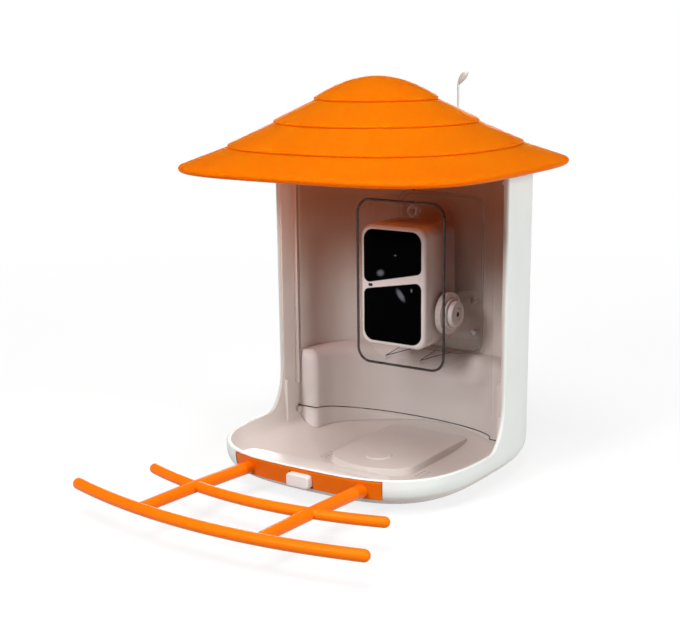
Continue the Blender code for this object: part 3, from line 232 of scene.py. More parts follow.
# One mesh from several closed shells; doubles are merged and every shell turned to face outwards
def makePiece(name, shells, body, material, replaced=(), sharp=38):
    points, faces = mergedShell(shells)
    used, index = np.unique(faces, return_inverse=True)
    mesh = bpy.data.meshes.new(name)
    mesh.from_pydata(((points[used] + toWorld) * 0.001).tolist(), [], index.reshape(faces.shape).tolist())
    shape = bmesh.new()
    shape.from_mesh(mesh)
    bmesh.ops.remove_doubles(shape, verts=shape.verts, dist=2e-6)
    bmesh.ops.dissolve_degenerate(shape, edges=shape.edges, dist=1e-6)
    bmesh.ops.recalc_face_normals(shape, faces=shape.faces)
    shape.to_mesh(mesh)
    shape.free()
    mesh.polygons.foreach_set("use_smooth", np.ones(len(mesh.polygons), bool))
    mesh.set_sharp_from_angle(angle=math.radians(sharp))
    piece = bpy.data.objects.new(name, mesh)
    bpy.context.scene.collection.objects.link(piece)
    mesh.materials.append(material)
    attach(piece, body)
    if replaced:
        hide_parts(*replaced)
    return piece


# Input of a node: a socket is linked to it, any other value is set
def feed(tree, entry, value):
    if isinstance(value, bpy.types.NodeSocket):
        tree.links.new(value, entry)
    else:
        entry.default_value = value


# New shader node with its settings, then its inputs by name or number
def addNode(tree, kind, inputs=None, **settings):
    node = tree.nodes.new("ShaderNode" + kind)
    for key, value in settings.items():
        setattr(node, key, value)
    for key, value in (inputs or {}).items():
        feed(tree, node.inputs[key], value)
    return node


# Result of one sum on sockets or numbers
def calc(tree, operation, *values):
    return addNode(tree, "Math", dict(enumerate(values)), operation=operation).outputs[0]


# Even step from one range to another: to low + (value - from low) / (from high - from low) * (to high - to low)
def ranged(tree, value, fromLow, fromHigh, toLow=0.0, toHigh=1.0, **settings):
    inputs = {"Value": value, "From Min": fromLow, "From Max": fromHigh, "To Min": toLow, "To Max": toHigh}
    return addNode(tree, "MapRange", inputs, **settings).outputs["Result"]


# Mix of two colours by a share, or their product by a share
def mixed(tree, share, first, second, blend="MIX"):
    inputs = {"Factor": share, "A": first, "B": second}
    return addNode(tree, "Mix", inputs, data_type="RGBA", blend_type=blend).outputs["Result"]


# Distance of a vector from the origin
def lengthOf(tree, vector):
    return addNode(tree, "VectorMath", {0: vector}, operation="LENGTH").outputs["Value"]


# What an effect on a material needs: its tree, its shader's inputs, their colour so far, object coordinates
def opened(material):
    tree = material.node_tree
    inputs = tree.nodes["Principled BSDF"].inputs
    return tree, inputs, inputs["Base Color"].links[0].from_socket, addNode(tree, "TexCoord").outputs["Object"]


# Moulded plastic: broad cloudiness, fine grain and faint dust, all from object coordinates
def mouldedGroup():
    tree = bpy.data.node_groups.new("mouldedPlastic", "ShaderNodeTree")
    colour, number = "NodeSocketColor", "NodeSocketFloat"
    for way, name, kind in (("INPUT", "Light Colour", colour), ("INPUT", "Dark Colour", colour),
                            ("INPUT", "Cloud Scale", number), ("INPUT", "Grain Scale", number),
                            ("INPUT", "Rough Low", number), ("INPUT", "Rough High", number),
                            ("OUTPUT", "Colour", colour), ("OUTPUT", "Roughness", number),
                            ("OUTPUT", "Height", number)):
        tree.interface.new_socket(name, in_out=way, socket_type=kind)
    entry, leave = tree.nodes.new("NodeGroupInput").outputs, tree.nodes.new("NodeGroupOutput").inputs
    where = addNode(tree, "TexCoord").outputs["Object"]
    cloud, grain, fine = (
        addNode(tree, "TexNoise", {"Vector": where, "Scale": scale, "Detail": detail}).outputs["Fac"]
        for scale, detail in ((entry["Cloud Scale"], 4), (entry["Grain Scale"], 2), (5200, 1)))
    share = ranged(tree, calc(tree, "MULTIPLY_ADD", grain, 0.35, cloud), 0.45, 0.95)
    feed(tree, leave["Colour"], mixed(tree, share, entry["Dark Colour"], entry["Light Colour"]))
    feed(tree, leave["Roughness"], ranged(tree, grain, 0.3, 0.7, entry["Rough Low"], entry["Rough High"]))
    feed(tree, leave["Height"], calc(tree, "MULTIPLY_ADD", fine, 0.5, grain))
    return tree


moulded = mouldedGroup()


# Plastic, rubber or paint: two close tones, a roughness range, and a grain height in metres
def plastic(name, light, dark, rough, cloudScale=22, grainScale=900, grain=0.00002, **sockets):
    material = bpy.data.materials.new(name)
    material.use_nodes = True
    tree = material.node_tree
    group = addNode(tree, "Group", {
        "Light Colour": (*light, 1), "Dark Colour": (*dark, 1), "Cloud Scale": cloudScale,
        "Grain Scale": grainScale, "Rough Low": rough[0], "Rough High": rough[1]}, node_tree=moulded).outputs
    bump = addNode(tree, "Bump", {"Height": group["Height"], "Distance": grain, "Strength": 0.6}).outputs["Normal"]
    sockets.update(Base_Color=group["Colour"], Roughness=group["Roughness"], Normal=bump)
    for key, value in sockets.items():
        feed(tree, tree.nodes["Principled BSDF"].inputs[key.replace("_", " ")], value)
    return material


# Clear moulding: faint grey body, opaque towards grazing angles as polished edges look
def clear(name, colour, faceOn, grazing, blend=0.35):
    material = plastic(name, colour, tuple(c * 0.86 for c in colour), (0.03, 0.09), 12, 300, 0.000004)
    tree = material.node_tree
    facing = addNode(tree, "LayerWeight", {"Blend": blend}).outputs["Facing"]
    feed(tree, tree.nodes["Principled BSDF"].inputs["Alpha"], ranged(tree, facing, 0.0, 1.0, faceOn, grazing))
    return material


# Painted glints as soft spots in a material's colour: each is an ellipse (x, z, across, up, turn), strongest in its
# middle
def addPaintedGlints(material, depth, glints, colour):
    tree, inputs, base, where = opened(material)
    for x, z, across, up, turn in glints:
        glint = addNode(tree, "Mapping", {
            "Vector": where, "Location": inMetres((x, depth, z)), "Rotation": (0, math.radians(turn), 0),
            "Scale": (across * 0.001, 0.01, up * 0.001)}, vector_type="TEXTURE").outputs["Vector"]
        share = ranged(tree, lengthOf(tree, glint), 1.0, 0.25, interpolation_type="SMOOTHSTEP")
        base = mixed(tree, share, base, (*colour, 1))
    feed(tree, inputs["Base Color"], base)


# Painted shade and painted orange bounce light from the roof inside the tub, where the plan size, less 0.6 mm in 100 mm
# for the wall's lean, is under the wall's middle line; it goes from low to high with the height, and fully so only
# behind the clear panel; the same painted tone tints the highlights there
def addPaintedInnerShade(material, low, high):
    tree, inputs, base, where = opened(material)
    split = addNode(tree, "SeparateXYZ", {0: where}).outputs
    powers = [calc(tree, "POWER", calc(tree, "ABSOLUTE", calc(tree, "ADD", split[axis], shift)), planExponent)
              for axis, shift in (("X", 0.0), ("Y", -toWorld[1] * 0.001))]
    size = calc(tree, "POWER", calc(tree, "ADD", *powers), 1 / planExponent)
    inside = ranged(tree, calc(tree, "MULTIPLY_ADD", split["Z"], -0.006, size), 0.0986, 0.0976)
    share = calc(tree, "MULTIPLY", ranged(tree, split["Z"], 0.12, 0.19), ranged(tree, split["Y"], 0.066, 0.084, 0.2))
    shadeTone = mixed(tree, share, (*low, 1), (*high, 1))
    feed(tree, inputs["Specular Tint"], mixed(tree, inside, (1, 1, 1, 1), shadeTone))
    feed(tree, inputs["Base Color"], mixed(tree, inside, base, shadeTone, "MULTIPLY"))


# Painted shade that grows evenly from none at start to full at end, both along the depth
def addPaintedDepthShade(material, start, end, depthShade):
    tree, inputs, base, where = opened(material)
    depth = addNode(tree, "SeparateXYZ", {0: where}).outputs["Y"]
    share = ranged(tree, depth, *((level + toWorld[1]) * 0.001 for level in (start, end)))
    feed(tree, inputs["Base Color"], mixed(tree, share, base, (*depthShade, 1), "MULTIPLY"))


# Distance from the camera's pivot axis, turned into a share between two radii
def pivotShare(tree, where, near, far, *levels):
    shift = addNode(tree, "VectorMath", {0: where, 1: inMetres((0, *pivot))}, operation="SUBTRACT").outputs[0]
    flat = addNode(tree, "VectorMath", {0: shift, 1: (0, 1, 1)}, operation="MULTIPLY").outputs[0]
    return ranged(tree, lengthOf(tree, flat), near * 0.001, far * 0.001, *levels)


# The bracket's head is solid white and its foot clear, as in the photograph
def clearFoot(material):
    tree, inputs, _, where = opened(material)
    feed(tree, inputs["Alpha"], pivotShare(tree, where, 15.6, 17.4, 1.0, 0.16))


# The screw's head is painted white, and its hexagon recess gets painted shade, near black
def addRecessShade(material):
    tree, inputs, base, where = opened(material)
    share = pivotShare(tree, where, 1.9, 2.1)
    feed(tree, inputs["Base Color"], mixed(tree, share, (0.012, 0.009, 0.008, 1), base))


shellWhite = plastic("shellWhite", (0.80, 0.83, 0.80), (0.75, 0.78, 0.75), (0.34, 0.44), Specular_IOR_Level=0.45)
warmWhite = plastic("warmWhite", (0.78, 0.72, 0.70), (0.73, 0.67, 0.65), (0.38, 0.48))
cameraWhite = plastic("cameraWhite", (0.82, 0.77, 0.75), (0.78, 0.73, 0.71), (0.17, 0.24), grainScale=1300,
                      Specular_IOR_Level=0.6)
roofOrange = plastic("roofOrange", (0.70, 0.155, 0.0003), (0.65, 0.135, 0.0003), (0.42, 0.54), grainScale=650,
                     grain=0.00006, Specular_IOR_Level=0.25, Specular_Tint=(1.0, 0.42, 0.0, 1),
                     Subsurface_Weight=0.85, Subsurface_Radius=(1.0, 0.3, 0.02), Subsurface_Scale=0.014)
perchOrange = plastic("perchOrange", (0.95, 0.185, 0.002), (0.90, 0.16, 0.002), (0.34, 0.44), grainScale=1100,
                      Specular_IOR_Level=0.4, Specular_Tint=(1.0, 0.5, 0.1, 1))
clearPanel = clear("clearPanel", (0.12, 0.10, 0.095), 0.015, 0.12, 0.2)
clearEdge = clear("clearEdge", (0.60, 0.53, 0.50), 0.36, 0.8)
# near-black colour of the painted dark lines along polished edges
clearRim = clear("clearRim", (0.035, 0.03, 0.03), 0.72, 0.95)
darkWindow = plastic("darkWindow", (0.0012, 0.0012, 0.0016), (0.0006, 0.0006, 0.0008), (0.10, 0.16),
                     grain=0.000002, Specular_IOR_Level=0.008)
milkyLens = plastic("milkyLens", (0.55, 0.56, 0.58), (0.48, 0.49, 0.51), (0.2, 0.3))
amberLens = plastic("amberLens", (0.60, 0.45, 0.15), (0.52, 0.38, 0.12), (0.2, 0.3))
lensBlack = plastic("lensBlack", (0.012, 0.012, 0.015), (0.008, 0.008, 0.01), (0.08, 0.16))
sealRubber = plastic("sealRubber", (0.022, 0.022, 0.022), (0.015, 0.015, 0.015), (0.6, 0.75))
greyRubber = plastic("greyRubber", (0.36, 0.345, 0.335), (0.31, 0.30, 0.29), (0.6, 0.72))
boardGreen = plastic("boardGreen", (0.02, 0.17, 0.07), (0.015, 0.13, 0.055), (0.3, 0.45))
cellWrap = plastic("cellWrap", (0.05, 0.21, 0.46), (0.04, 0.17, 0.40), (0.28, 0.38))
speakerMetal = plastic("speakerMetal", (0.11, 0.11, 0.12), (0.08, 0.08, 0.09), (0.35, 0.5), Metallic=0.8)
holderBlack = plastic("holderBlack", (0.035, 0.035, 0.035), (0.025, 0.025, 0.025), (0.45, 0.6))
insertBrass = plastic("insertBrass", (0.72, 0.50, 0.21), (0.62, 0.41, 0.16), (0.25, 0.4), Metallic=1.0)
brightSteel = plastic("brightSteel", (0.62, 0.62, 0.61), (0.52, 0.52, 0.52), (0.24, 0.36), Metallic=1.0)
wireGrey = plastic("wireGrey", (0.56, 0.58, 0.555), (0.49, 0.51, 0.485), (0.36, 0.48), Metallic=0.3)
paintedScrew = plastic("paintedScrew", (0.78, 0.72, 0.70), (0.73, 0.67, 0.65), (0.38, 0.48))
# darker and warmer than warmWhite as painted shade on the camera's bracket
shadedBracketWhite = plastic("shadedBracketWhite", (0.74, 0.66, 0.63), (0.69, 0.61, 0.58), (0.3, 0.4))
# painted shade inside the tub, turning to painted orange bounce light from the roof towards the top
addPaintedInnerShade(shellWhite, (0.92, 0.82, 0.80), (0.66, 0.38, 0.25))
# painted shade on the camera case towards its back, where it sits deep in the pocket
addPaintedDepthShade(cameraWhite, 42.0, 58.0, (0.50, 0.39, 0.35))
# painted shade on the perch's plate, from its front face back
addPaintedDepthShade(perchOrange, -105.0, -103.6, (0.78, 0.72, 0.7))
# painted glints: reflections of the lens, sensor and lights behind the two windows, painted into the windows' colour
addPaintedGlints(darkWindow, 32.6, ((-4.6, 157.2, 1.7, 1.0, 0), (-18.0, 142.6, 4.6, 3.4, -15),
                            (0.0, 127.0, 3.2, 7.4, -38), (9.6, 131.6, 1.3, 2.0, 0)), (0.15, 0.18, 0.21))
clearFoot(shadedBracketWhite)
# painted shade in the screw's hexagon recess
addRecessShade(paintedScrew)
print("materials made")

# CAD nodes that stay, by their material
kept = (
    (insertBrass, ("pole_socket_insert", "rear_socket_insert")),
    (brightSteel, ("roof_hinge_pin_left", "roof_hinge_pin_right", "bracket_screw_lower", "bracket_screw_upper")),
    (paintedScrew, ("pivot_screw",)), (shadedBracketWhite, ("camera_bracket",)), (sealRubber, ("case_seal",)),
    (greyRubber, ("charging_port_cover", "friction_washer")), (boardGreen, ("main_board",)),
    (lensBlack, ("camera_lens",)), (milkyLens, ("motion_sensor", "night_light_left", "night_light_right")),
    (amberLens, ("status_light_pipe",)), (cellWrap, ("battery_cell_left", "battery_cell_right")),
    (holderBlack, ("cell_holder",)), (speakerMetal, ("speaker",)),
)
for material, nodes in kept:
    for node in nodes:
        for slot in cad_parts[node].material_slots:
            slot.material = material

tub = dict(half=99.9, draft=1.4, base=1.5, top=236.5, wall=3.0, rim=28.5, floor=3.8, run=58.4, rise=23.6,
           footExponent=2.75, edgeY=12.2, sweepDepth=20.0, sweepRise=36.0, lip=0.9, middleY=1.5,
           shares=(0.12, 0.28, 0.45, 0.62, 0.827, 0.846, 1.0),
           socket=((7.9, 0), (7.9, 5.0), (2.0, 5.0), (1.5, 5.4), (1.5, 14), (1.5, 28)))
# The plate's recess in the front; behind it a slot for each tongue and the button's bay, with their bottoms' depth
recess = dict(half=62.9, low=13.4, high=27.3, inward=3.3, lean=1.6,
              slotX=40.0, slotHalf=4.3, slotLow=16.1, slotHigh=22.7, slotY=-77.7,
              bayHalf=13.3, bayLow=14.4, bayHigh=24.5, bayY=-81.2)


# Drafted wall: half = half at the foot + draft * share of the height
def wallHalf(z):
    foot = tub["base"] + tub["rise"]
    return tub["half"] + tub["draft"] * (np.asarray(z, float) - foot) / (tub["top"] - foot)


# Foot: superellipse quarter, across = (1 - (1 - up)^p)^(1/p)
def footProfile(up, base, inward):
    fall = np.clip(1 - up, 0, 1)
    across = (1 - fall ** tub["footExponent"]) ** (1 / tub["footExponent"])
    return wallHalf(base + tub["rise"]) - inward - tub["run"] * (1 - across), base + tub["rise"] * up


# Swept front edge, a quarter ellipse moved in by the lip's radius along its way; then the front's and back's angles
def tubColumns():
    r, depth, rise = tub["lip"], tub["sweepDepth"], tub["sweepRise"]
    turn = np.linspace(math.pi / 2, 0, 26)
    way = np.stack([-rise * np.sin(turn), depth * np.cos(turn)])
    wayY, wayZ = way / np.hypot(*way)
    y = tub["edgeY"] - depth + depth * np.sin(turn) - r * wayY
    z = tub["rim"] + rise - rise * np.cos(turn) - r * wayZ
    angle = np.arctan2(y, planDepth(y, tub["half"]))
    at = np.array([recess["half"] + 0.05, recess["half"], recess["slotX"] + recess["slotHalf"],
                   recess["slotX"] - recess["slotHalf"], recess["bayHalf"]])
    at = np.concatenate([-at, at[::-1]])
    special = np.arctan2(-planDepth(at, tub["half"]), at)
    front = np.sort(np.concatenate([np.linspace(angle[-1], -math.pi - angle[-1], 150)[1:-1], special]))
    return angle, z, wayY, wayZ, front, np.linspace(angle[0], math.pi - angle[0], 150)


# Tub: outer and inner surface up to the front's edge, the tall part behind it, the hollows and the edge all round
def tubShell():
    sweep, sweepZ, wayY, wayZ, front, back = tubColumns()
    edge, edgeZ, sweepTop = sweep[:0:-1], sweepZ[:0:-1], tub["rim"] + tub["sweepRise"]
    angles = np.mod(np.concatenate([back, math.pi - sweep[1:], math.tau + front, math.tau + edge]), math.tau)
    tops = np.concatenate([np.full(len(back), sweepTop), sweepZ[1:],
                           np.full(len(front), tub["rim"] - tub["lip"]), edgeZ])
    marks = [recess["low"] - 0.05, *(recess[key] for key in ("low", "bayLow", "slotLow", "slotHigh", "bayHigh"))]
    levels = np.unique(np.concatenate([1 - np.cos(quarter(22)) ** (2 / tub["footExponent"]),
                                       (np.array(marks) - tub["base"]) / tub["rise"]]))
    tall = np.linspace(sweepTop, tub["top"] - tub["lip"], 40)
    grids = []
    for base, inward in ((tub["base"], 0.0), (tub["floor"], tub["wall"])):
        halves, heights = footProfile(levels, base, inward)
        rows = [ring(half, angles, z) for half, z in zip(halves, heights)]
        for share in tub["shares"]:
            z = heights[-1] + share * (tops - heights[-1])
            rows.append(ring(wallHalf(z) - inward, angles, z))
        centre = ([rows[0] * (share, share, 1) for share in (0, 0.25, 0.5, 0.75)] if inward else
                  [place(arc((0, tub["middleY"]), radius, angles), z, "z") for z, radius in tub["socket"]])
        grids += [np.stack(centre + rows), [ring(wallHalf(z) - inward, back, z) for z in tall]]
    outer, outerTall, inner, innerTall = grids
    recessPlate(outer)
    points, faces = skin(outer)
    x, y, z = points[faces].mean(1).T
    behind = (y < -70) & (z > recess["low"]) & (z < recess["high"])
    slots = behind & (np.abs(np.abs(x) - recess["slotX"]) < recess["slotHalf"])
    slots &= (z > recess["slotLow"]) & (z < recess["slotHigh"])
    bay = behind & (np.abs(x) < recess["bayHalf"]) & (z > recess["bayLow"]) & (z < recess["bayHigh"])
    return mergedShell([(points, faces[~(slots | bay)]), sunken(points, faces[slots], recess["slotY"]),
                        sunken(points, faces[bay], recess["bayY"]), skin(inner), skin(outerTall, False),
                        skin(innerTall, False), rimStrip(back, sweep, sweepZ, wayY, wayZ, front, tall)])


# The plate's recess: front points between its edges are pushed back to the recess's own curve
def recessPlate(grid):
    low, high = recess["low"], recess["high"]
    x, y, z = grid[..., 0], grid[..., 1], grid[..., 2]
    nominal = grid[-3, :, 0] + 0 * x
    hit = (np.abs(nominal) < recess["half"] + 0.02) & (grid[-3, :, 1] < -60) & (z > low - 0.01) & (z < high - 0.01)
    lean = recess["lean"] * ((high - z) / (high - low))
    depth = lean - planDepth(np.clip(nominal, -90, 90), tub["half"] - recess["inward"])
    grid[..., 0] = np.where(hit, nominal, x)
    grid[..., 1] = np.where(hit, np.maximum(y, depth), y)


# Rounded edge all round the wall: two quarter circles between the outer and the inner surface. Each part of the
# round gives its angles, heights and the edge's own way (y, z): up on the level parts, forwards on the upright ones
def rimStrip(back, sweep, sweepZ, wayY, wayZ, front, tall):
    r, corner = tub["lip"], quarter(7)
    top, rim = tub["top"] - r, tub["rim"] - r
    parts = ((back, top, 0, 1), (back[-1], top, -np.sin(corner), np.cos(corner)), (back[-1], tall[::-1], -1, 0),
             (math.pi - sweep, sweepZ, wayY, wayZ), (math.tau + front, rim, 0, 1),
             (math.tau + sweep[::-1], sweepZ[::-1], wayY[::-1], wayZ[::-1]), (math.tau + back[0], tall, -1, 0),
             (math.tau + back[0], top, -np.sin(corner[::-1]), np.cos(corner[::-1])))
    angle, z, wayY, wayZ = np.concatenate([np.stack(np.broadcast_arrays(*part)) for part in parts], 1)
    outer, inner = ring(wallHalf(z), angle, z), ring(wallHalf(z) - tub["wall"], angle, z)
    through = inner - outer
    through /= np.linalg.norm(through, axis=1)[:, None]
    way = np.stack([0 * wayY, wayY, wayZ], 1)
    turn = quarter(6)
    rows = [outer + r * math.sin(a) * way + r * (1 - math.cos(a)) * through for a in turn]
    rows += [inner + r * math.sin(a) * way - r * (1 - math.cos(a)) * through for a in turn[::-1]]
    return skin(rows)


# Walls from each edge that belongs to one face only to its copy, whose points come count later
def borderWalls(faces, count):
    edges = np.concatenate([faces[:, [k, (k + 1) % 4]] for k in range(4)])
    _, first, repeats = np.unique(np.sort(edges, 1), axis=0, return_index=True, return_counts=True)
    a, b = edges[first[repeats == 1]].T
    return np.stack([a, b, b + count, a + count], 1)


# Hollow behind a patch of faces: the patch moved back to a flat bottom, with walls round it
def sunken(points, faces, depth):
    deep = points.copy()
    deep[:, 1] = depth
    return np.concatenate([points, deep]), np.concatenate([faces + len(points), borderWalls(faces, len(points))])


shelf = dict(half=61.5, front=-107.9, back=-74.4, corner=8, inside=98.4, sunk=1.5, edge=1.6, top=27.3,
             slope=1.6, slopeRun=25.5)


# Shelf over the latch: a round-cornered plan held inside the wall, its foot in the tub's floor, its top leaning back
def latchShelf():
    s = shelf
    flat = roundRectangle((-s["half"], s["front"]), (s["half"], s["back"]), s["corner"], 10)
    flat[:, 1] = np.maximum(flat[:, 1], -planDepth(flat[:, 0], s["inside"]))
    profile = footProfile(1 - np.cos(quarter(60)), tub["base"], 0)
    rows = [place(flat, np.interp(planSize(flat), *profile) + s["sunk"], "z")]
    for down, inward in rounded(s["edge"], 7):
        part = inset(flat, inward)
        rows.append(place(part, s["top"] - s["slope"] * (part[:, 1] + tub["half"]) / s["slopeRun"] - down, "z"))
    return capped(rows)


hump = dict(half=35.0, back=78.0, noseStart=-5.0, noseLength=21.0, middleY=20.0, low=3.0, top=8.8, draft=1.5,
            topDraft=0.3, corner=6.0, edge=0.8)
disc = dict(centre=(0, tub["middleY"]),
            profile=((8.0, 0), (8.0, 10.1), (8.8, 10.1), (9.5, 9.9), (9.75, 9.5), (9.8, 8.9), (9.8, 0)))


# Hump: half an ellipse for its nose and two round back corners, drafted, with a rounded top edge
def humpShell():
    h = hump

    def outline(grow):
        turn = np.linspace(math.pi, math.tau, 61)
        side, back, c = h["half"] + grow, h["back"] + grow, h["corner"]
        nose = np.stack([side * np.cos(turn), h["noseStart"] + (h["noseLength"] + grow) * np.sin(turn)], 1)
        return np.concatenate([nose, arc((side - c, back - c), c, quarter(9)),
                               arc((c - side, back - c), c, quarter(9) + math.pi / 2)])

    rows = [place(outline(h["draft"]), h["low"], "z")]
    rows += [place(outline(h["topDraft"] - inward), h["top"] - down, "z") for down, inward in rounded(h["edge"], 7)]
    middle = np.zeros((len(rows[0]), 2)) + (0, h["middleY"])
    return skin([place(middle, h["low"], "z"), *rows, place(middle, h["top"], "z")])


# Blocks inside the right wall that hold the panel
fittings = dict(frontLip=((93.3, 27.8, 46.5), (98.3, 29.2, 236.0), 0.3),
                backLip=((93.3, 31.8, 73.3), (98.3, 34.2, 236.0), 0.3),
                foot=((93.3, 27.8, 21.7), (96.6, 31.6, 26.2), 0.3),
                pad=((96.4, 12.9, 51.5), (98.3, 28.1, 236.0), 0.25),
                lowFin=((93.9, 12.9, 16.6), (97.2, 14.9, 51.8), 0.3),
                topFin=((94.8, 13.3, 218.5), (98.3, 28.1, 220.5), 0.4))
# Pad with its bore as (y, radius), the hanger's boss, and the hinge's ears
rear = dict(padLow=(-30, 75), padHigh=(30, 145), corner=8, middleZ=110, root=98.6, face=103.0, edge=0.8,
            bore=((103.0, 14), (103.0, 5.3), (102.6, 5.0), (98.1, 5.0), (98.1, 0.0)),
            boss=((-7.5, 98.6, 185), (1.5, 106.9, 203)),
            earX=(-40, 40), earNear=4.0, earFar=8.0, earRadius=3.4, earTop=2.72, earFoot=8.16, earHalf=101.3)


# Pad whose outline runs over a rounded edge into the bore at its own angles; ears with an arc round the hinge
def rearFittings():
    pad = roundRectangle(rear["padLow"], rear["padHigh"], rear["corner"], 12)
    turn = np.unwrap(np.arctan2(pad[:, 1] - rear["middleZ"], pad[:, 0]))
    rows = [place(pole(pad), rear["root"], "y"), place(pad, rear["root"], "y")]
    rows += [place(inset(pad, inward), rear["face"] - down, "y") for down, inward in rounded(rear["edge"], 5)]
    rows += [place(arc((0, rear["middleZ"]), radius, turn), y, "y") for y, radius in rear["bore"]]
    root = float(planDepth(rear["earX"][1] + rear["earFar"], rear["earHalf"])) - 1.5
    ear = np.concatenate([arc(hinge, rear["earRadius"], np.radians(np.linspace(-70, 90, 15))),
                          [[root, hinge[1] + rear["earTop"]], [root, hinge[1] - rear["earFoot"]]]])
    ears = [slab(ear, *sorted((centre + side * rear["earNear"], centre + side * rear["earFar"])), "x", 0.3, 2)
            for centre in rear["earX"] for side in (-1, 1)]
    return [skin(rows), block(*rear["boss"], 0.7), *ears]


drain = dict(middle=(46.5, -5.0), pitch=4.0, profile=((3.0, 0), (3.0, 0.95), (3.83, 0.95), (3.86, 0.8), (3.84, 0.7),
                                                      (3.2, 0.62), (3.2, 0)))


# Drain holes: small cups let into the floor, four by four on each side, painted black as the shade inside the holes
def drainCups():
    steps = (np.arange(4) - 1.5) * drain["pitch"]
    return [turned(drain["profile"], (side * drain["middle"][0] + x, drain["middle"][1] + y), "z", 12)
            for side in (-1, 1) for x in steps for y in steps]


makePiece("tubShell", [tubShell(), humpShell(), latchShelf(), turned(disc["profile"], disc["centre"], "z", 72),
                       *mirrored(fittings.values()), *rearFittings()], "feeder_body", shellWhite,
          ("tub",))
# the cups are painted black as the shade inside the drain holes
makePiece("drainHoles", drainCups(), "feeder_body", holderBlack)
print("tub made")

chute = dict(top=73.0, front=31.95, wallX=96.3, corner=6.0, mouthStart=37.95, mouthHalf=80.0, mouthDepth=52.05,
             edge=8.5, base=4.1, inward=tub["wall"] + 0.3)


# Chute: a closed section swung round the back, from the tub's wall in to the mouth's wall. The mouth is half an
# ellipse; the wall's angle grows evenly with the share of the mouth's length
def chuteShell():
    c = chute
    cornerX = c["mouthHalf"] + c["corner"]
    line = np.linspace((c["wallX"], c["front"]), (cornerX, c["front"]), 6)[:-1]
    right = np.concatenate([line, arc((cornerX, c["mouthStart"]), c["corner"], -math.pi / 2 - quarter(12))])
    sweep = np.linspace(0, math.pi, 90)[1:-1]
    middle = np.stack([c["mouthHalf"] * np.cos(sweep), c["mouthStart"] + c["mouthDepth"] * np.sin(sweep)], 1)
    path = np.concatenate([right, middle, right[::-1] * (-1, 1)])
    way = np.gradient(path, axis=0)
    normal = np.stack([way[:, 1], -way[:, 0]], 1) / np.linalg.norm(way, axis=1)[:, None]
    share = np.concatenate([[0.0], np.cumsum(np.hypot(*np.diff(path, axis=0).T))])
    first = math.atan2(c["front"], c["wallX"])
    wallAngle = first + (math.pi - 2 * first) * np.clip((share / share[-1] - 0.05) / 0.9, 0, 1)
    profile = footProfile(np.linspace(0, 1, 14), c["base"], c["inward"])
    top, shoulder = c["top"], c["top"] - c["edge"]
    wall, foot = (np.stack(plan(half, planExponent, wallAngle), 1)
                  for half in (float(wallHalf(top)) - c["inward"], profile[0][-1]))
    limit = np.minimum(1, np.linalg.norm(wall - path, axis=1) / (c["edge"] + 1))[:, None]
    rows = [place(wall, top, "z")]
    rows += [place(path + normal * (out * limit), top - down, "z") for out, down in rounded(c["edge"], 7)]
    floorZ = np.interp(planSize(path), *profile)
    rows += [place(path, shoulder + (floorZ - shoulder) * k, "z") for k in np.linspace(0, 1, 8)]
    for k in np.linspace(0, 1, 10)[1:]:
        flat = path + (foot - path) * k
        rows.append(place(flat, np.interp(planSize(flat), *profile), "z"))
    return capped(np.stack(rows, 1))


makePiece("seedChute", [chuteShell()], "feeder_body", warmWhite, ("seed_chute",))
print("chute made")

panel = dict(flangeY=30.5, end=95.7, arcHalf=78.0, arcDepth=23.5, easeStart=80.0, easeRun=3.8, thick=2.0, low=26.5,
             high=229.0, holeIn=0.6, footUp=0.5, footRadius=0.42)
pocket = dict(half=39.2, low=71.0, high=199.6, front=31.3, back=95.0, wall=2.2, corner=12.0, backEdge=3.0,
              innerEdge=2.0, lip=0.8, rimIn=1.1, rimRadius=1.0, lines=((0.35, 91.9), (3.2, 94.6)), lineRadius=0.33)
gusset = dict(roots=(-0.49, 0.30), spread=0.17, front=42.1, back=77.2, low=72.0, high=75.7, half=0.5,
              edgeZ=75.75, edgeRadius=0.3)
hangingRing = dict(centre=(2.0, 189.6), web=((1.3, 47.0, 193.4), (2.7, 51.0, 197.6)),
                   profile=((46.0, 3.0), (46.0, 4.2), (46.3, 4.5), (51.7, 4.5), (52.0, 4.2), (52.0, 3.0), (46.0, 3.0)))
dot = dict(centre=(0.0, 206.0), profile=((52.6, 0), (52.6, 1.0), (51.6, 1.3), (51.4, 1.2), (51.2, 0)))


# Panel's plan: flat flanges and a bowed middle, half an ellipse as depth over x, smoothed where they meet
def panelDepth(x):
    bow = panel["arcDepth"] * np.sqrt(np.clip(1 - (x / panel["arcHalf"]) ** 2, 0, 1))
    return panel["flangeY"] + bow * np.clip((panel["easeStart"] - np.abs(x)) / panel["easeRun"], 0, 1)


# Pocket's outline moved inwards; its corners shrink by as much unless their radius is given
def pocketOutline(inward, corner=None):
    p = pocket
    return roundRectangle((-p["half"] + inward, p["low"] + inward), (p["half"] - inward, p["high"] - inward),
                          corner or max(p["corner"] - inward, 2), 16)


